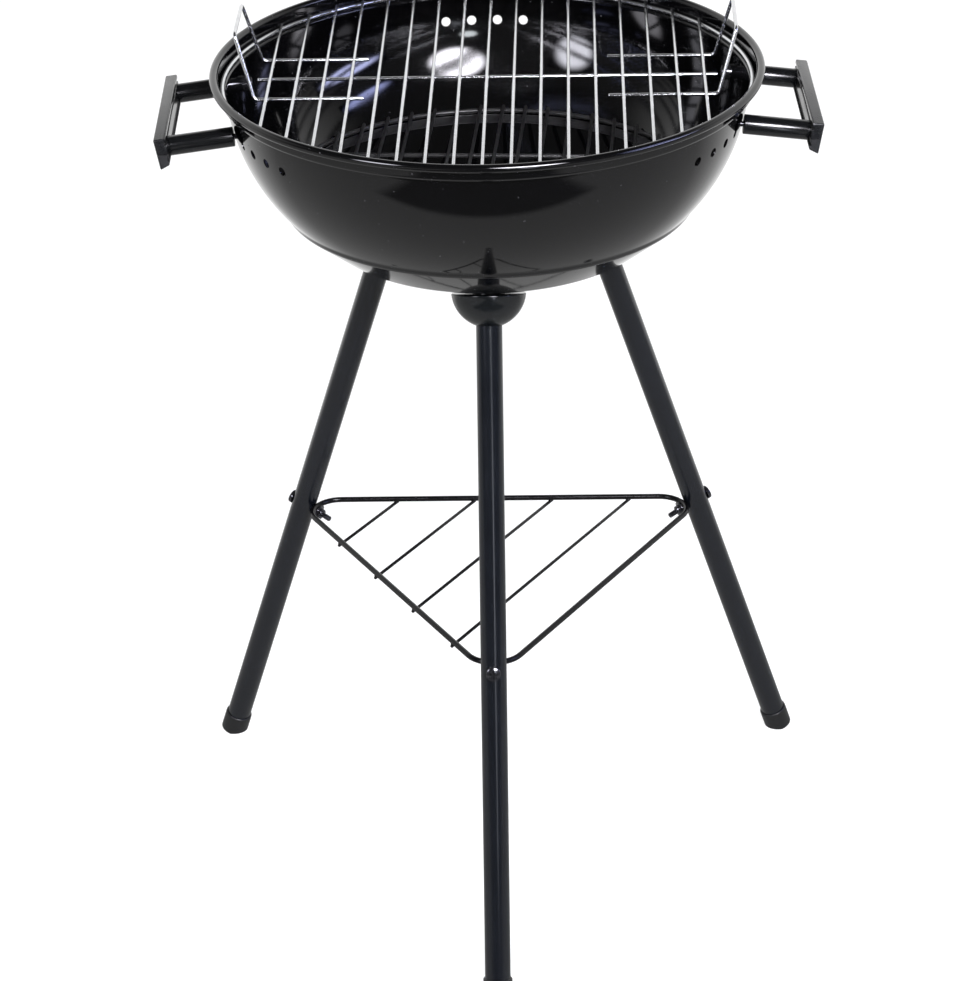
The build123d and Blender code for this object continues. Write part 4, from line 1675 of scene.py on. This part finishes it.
@dataclass(frozen=True)
class Softbox:
    """A lamp box of the studio, seen from the bowl by its direction and angular size."""

    name: str
    azimuth: float
    elevation: float
    width: float
    height: float
    radiance: float
    tint: str
    softness: float = 0.5
    distance: float = 2.4

    def build(self, target: Vector) -> None:
        """Hang the box so that it faces the bowl.

        Args:
            target: Point that it faces, in metres.
        """
        back = way_to(self.azimuth, self.elevation)
        wide, high = (2 * self.distance * tan(radians(size) / 2) for size in (self.width, self.height))
        turn = back.to_track_quat("Z", "Y").to_matrix().to_4x4()
        place = Matrix.Translation(target + back * self.distance) @ turn @ Matrix.Diagonal((wide, high, 1, 1))
        mesh = bmesh.new()
        mesh.loops.layers.uv.new("UVMap")
        bmesh.ops.create_grid(mesh, x_segments=1, y_segments=1, size=0.5, matrix=place, calc_uvs=True)
        box = add_object(mesh, self.name, self.cloth())
        box.visible_camera = False

    def cloth(self) -> Material:
        """Let the cloth glow, brightest in the middle and fading out towards a round edge.

        Returns:
            The material of the cloth.
        """
        made, tree = new_material(self.name + "_cloth")
        spot = add_node(tree, "TexCoord").outputs["UV"]
        aside = add_node(tree, "VectorMath", {0: spot, 1: (0.5, 0.5, 0.0)}, operation="DISTANCE")
        span = (0.5 * (1 - self.softness), 0.5)
        fade = ramp(tree, aside.outputs["Value"], span, (self.radiance, 0.0), "SMOOTHSTEP")
        glow = add_node(tree, "Emission", {"Color": linear(self.tint), "Strength": fade})
        add_node(tree, "OutputMaterial", {"Surface": glow.outputs[0]})
        return made


@dataclass
class Studio:
    """Pale floor, white backdrop, dark ceiling, lamp boxes and the camera.

    Levels are what gloss reflects; distances on the floor are in metres from the bowl's axis.
    """

    boxes: tuple[Softbox, ...] = (
        Softbox("key_box", 17.5, 30.5, 30.0, 22.0, 60.0, "#f8f6ff", 0.45),
        Softbox("left_box", -43.0, 20.0, 22.0, 24.0, 18.0, "#f4f4ff"),
        Softbox("right_strip", 74.0, 17.0, 42.0, 7.0, 20.0, "#c8ceff"),
        Softbox("right_panel", 73.0, 33.0, 33.0, 6.0, 14.0, "#bac3ff"),
        Softbox("low_front", 10.0, 13.0, 10.0, 4.5, 16.0, "#f4fbff"),
        Softbox("leg_strip", 16.0, -1.0, 10.0, 24.0, 4.0, "#eef2ff"),
    )
    fill: float = 0.45
    ceiling: float = 0.07
    ceiling_span: Pair = (0.5, 0.78)
    sweep_span: Pair = (-0.15, 0.55)
    sweep_levels: Pair = (0.12, 1.15)
    floor_half: float = 9.0
    floor_levels: Pair = (0.11, 0.50)
    dark_ahead: Pair = (-0.70, -0.63)
    dark_aside: Pair = (0.64, 0.78)
    rear_span: Pair = (0.3, 0.95)
    rear_level: float = 0.6
    paper_white: float = 0.8
    paper_seen: float = 0.25
    paper_glow: float = 0.88
    camera_elevation: float = 27.159
    camera_azimuth: float = 1.645
    camera_roll: float = -1.329
    camera_distance: float = 3.003647
    camera_target: tuple[float, float, float] = (-0.00548, 0.0, 0.324178)
    focal_pixels: float = 3486.698
    frame_pixels: float = 981.0
    sensor: float = 36.0

    def build(self, axis: Vector) -> None:
        """Set up the whole studio round the bowl's axis.

        Args:
            axis: Foot of the bowl's axis on the floor, in metres.
        """
        self.build_world()
        self.build_floor(axis)
        for box in self.boxes:
            box.build(axis + Vector((0, 0, SIZES.rim_height * MM)))
        self.build_camera(axis)
        bpy.context.scene.view_settings.view_transform = "Standard"

    def build_world(self) -> None:
        """White to the camera, a white sweep behind and a dark ceiling to gloss, a plain fill to the rest."""
        world = bpy.data.worlds.new("studio")
        bpy.context.scene.world = world
        world.use_nodes = True
        tree = world.node_tree
        tree.nodes.clear()
        way = add_node(tree, "SeparateXYZ", {0: add_node(tree, "TexCoord").outputs["Generated"]})
        behind = ramp(tree, way.outputs["Y"], self.sweep_span, self.sweep_levels)
        above = ramp(tree, way.outputs["Z"], self.ceiling_span, (1.0, 0.0), "SMOOTHSTEP")
        shown = reckon(tree, "MAXIMUM", reckon(tree, "MULTIPLY", behind, above), self.ceiling)
        path = add_node(tree, "LightPath")
        gloss = add_node(tree, "Mix", {0: path.outputs["Is Glossy Ray"], 2: self.fill, 3: shown})
        level = add_node(tree, "Mix", {0: seen_directly(tree, path), 2: gloss.outputs[0], 3: 1.0})
        sky = add_node(tree, "Background", {"Color": (1, 1, 1, 1), "Strength": level.outputs[0]})
        add_node(tree, "OutputWorld", {"Surface": sky.outputs[0]})

    def build_floor(self, axis: Vector) -> None:
        """Lay the pale floor, white to the camera but for the grill's soft shadow.

        Args:
            axis: Foot of the bowl's axis on the floor.
        """
        mesh = bmesh.new()
        bmesh.ops.create_grid(mesh, x_segments=1, y_segments=1, size=self.floor_half)
        add_object(mesh, "studio_floor", self.paper(axis))

    def paper(self, axis: Vector) -> Material:
        """Paper of the floor: dark to gloss in front, pale at the sides and behind.

        Args:
            axis: Foot of the bowl's axis on the floor.

        Returns:
            The material of the floor.
        """
        made, tree = new_material("white_paper_floor")
        path = add_node(tree, "LightPath")
        place = add_node(tree, "SeparateXYZ", {0: add_node(tree, "TexCoord").outputs["Object"]})
        depth = reckon(tree, "SUBTRACT", place.outputs["Y"], axis.y)
        ahead = ramp(tree, depth, self.dark_ahead, self.floor_levels)
        aside = ramp(tree, reckon(tree, "ABSOLUTE", place.outputs["X"]), self.dark_aside, self.floor_levels)
        rear = ramp(tree, depth, self.rear_span, (0.0, self.rear_level))
        level = reckon(tree, "ADD", reckon(tree, "MAXIMUM", ahead, aside), rear)
        gloss = add_node(tree, "Emission", {"Strength": level})
        seen = seen_directly(tree, path)
        white = add_node(tree, "Mix", {0: seen, 2: self.paper_white, 3: self.paper_seen})
        matt = add_node(tree, "BsdfDiffuse", {"Color": white.outputs[0]})
        glow = add_node(tree, "Emission", {"Strength": reckon(tree, "MULTIPLY", seen, self.paper_glow)})
        both = add_node(tree, "AddShader", {0: matt.outputs[0], 1: glow.outputs[0]})
        ways = {0: path.outputs["Is Glossy Ray"], 1: both.outputs[0], 2: gloss.outputs[0]}
        mixed = add_node(tree, "MixShader", ways)
        add_node(tree, "OutputMaterial", {"Surface": mixed.outputs[0]})
        return made

    def build_camera(self, axis: Vector) -> None:
        """Set the camera at the photograph's viewing angle.

        Args:
            axis: Foot of the bowl's axis on the floor.
        """
        roll = radians(self.camera_roll)
        back = way_to(self.camera_azimuth, self.camera_elevation)
        right = (-back).cross(Vector((0, 0, 1))).normalized()
        up = right.cross(-back)
        rolled_right = right * cos(roll) + up * sin(roll)
        rolled_up = up * cos(roll) - right * sin(roll)
        data = bpy.data.cameras.new("camera")
        data.sensor_width = self.sensor
        data.lens = self.focal_pixels / self.frame_pixels * self.sensor
        camera = bpy.data.objects.new("camera", data)
        bpy.context.scene.collection.objects.link(camera)
        place = Matrix((rolled_right, rolled_up, back)).transposed().to_4x4()
        place.translation = axis + Vector(self.camera_target) + back * self.camera_distance
        camera.matrix_world = place
        bpy.context.scene.camera = camera


def main() -> None:
    """Load the frame, build every sub-assembly and set up the studio."""
    logging.basicConfig(level=logging.INFO, format="%(name)s %(message)s")
    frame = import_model()
    low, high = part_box("grate_ring")
    axis = Vector(((low.x + high.x) / 2, (low.y + high.y) / 2, 0.0))
    shop = Workshop(axis, frame)
    bowl = Bowl()
    bowl.build(shop)
    Leg().build(shop)
    Shelf().build(shop)
    SideHandle().build(shop, bowl)
    CookingGrate().build(shop, bowl.ledge_z)
    CoalGrate().build(shop, bowl)
    for node in ("leg_plugs", "leg_washers", "grip_inserts"):
        shop.dress(node, ZINC_STEEL)
    shop.dress("handle_washers", BLACK_STEEL)
    Studio().build(axis)
    LOG.info("%d pieces", len(shop.made))


if __name__ == "__main__":
    main()
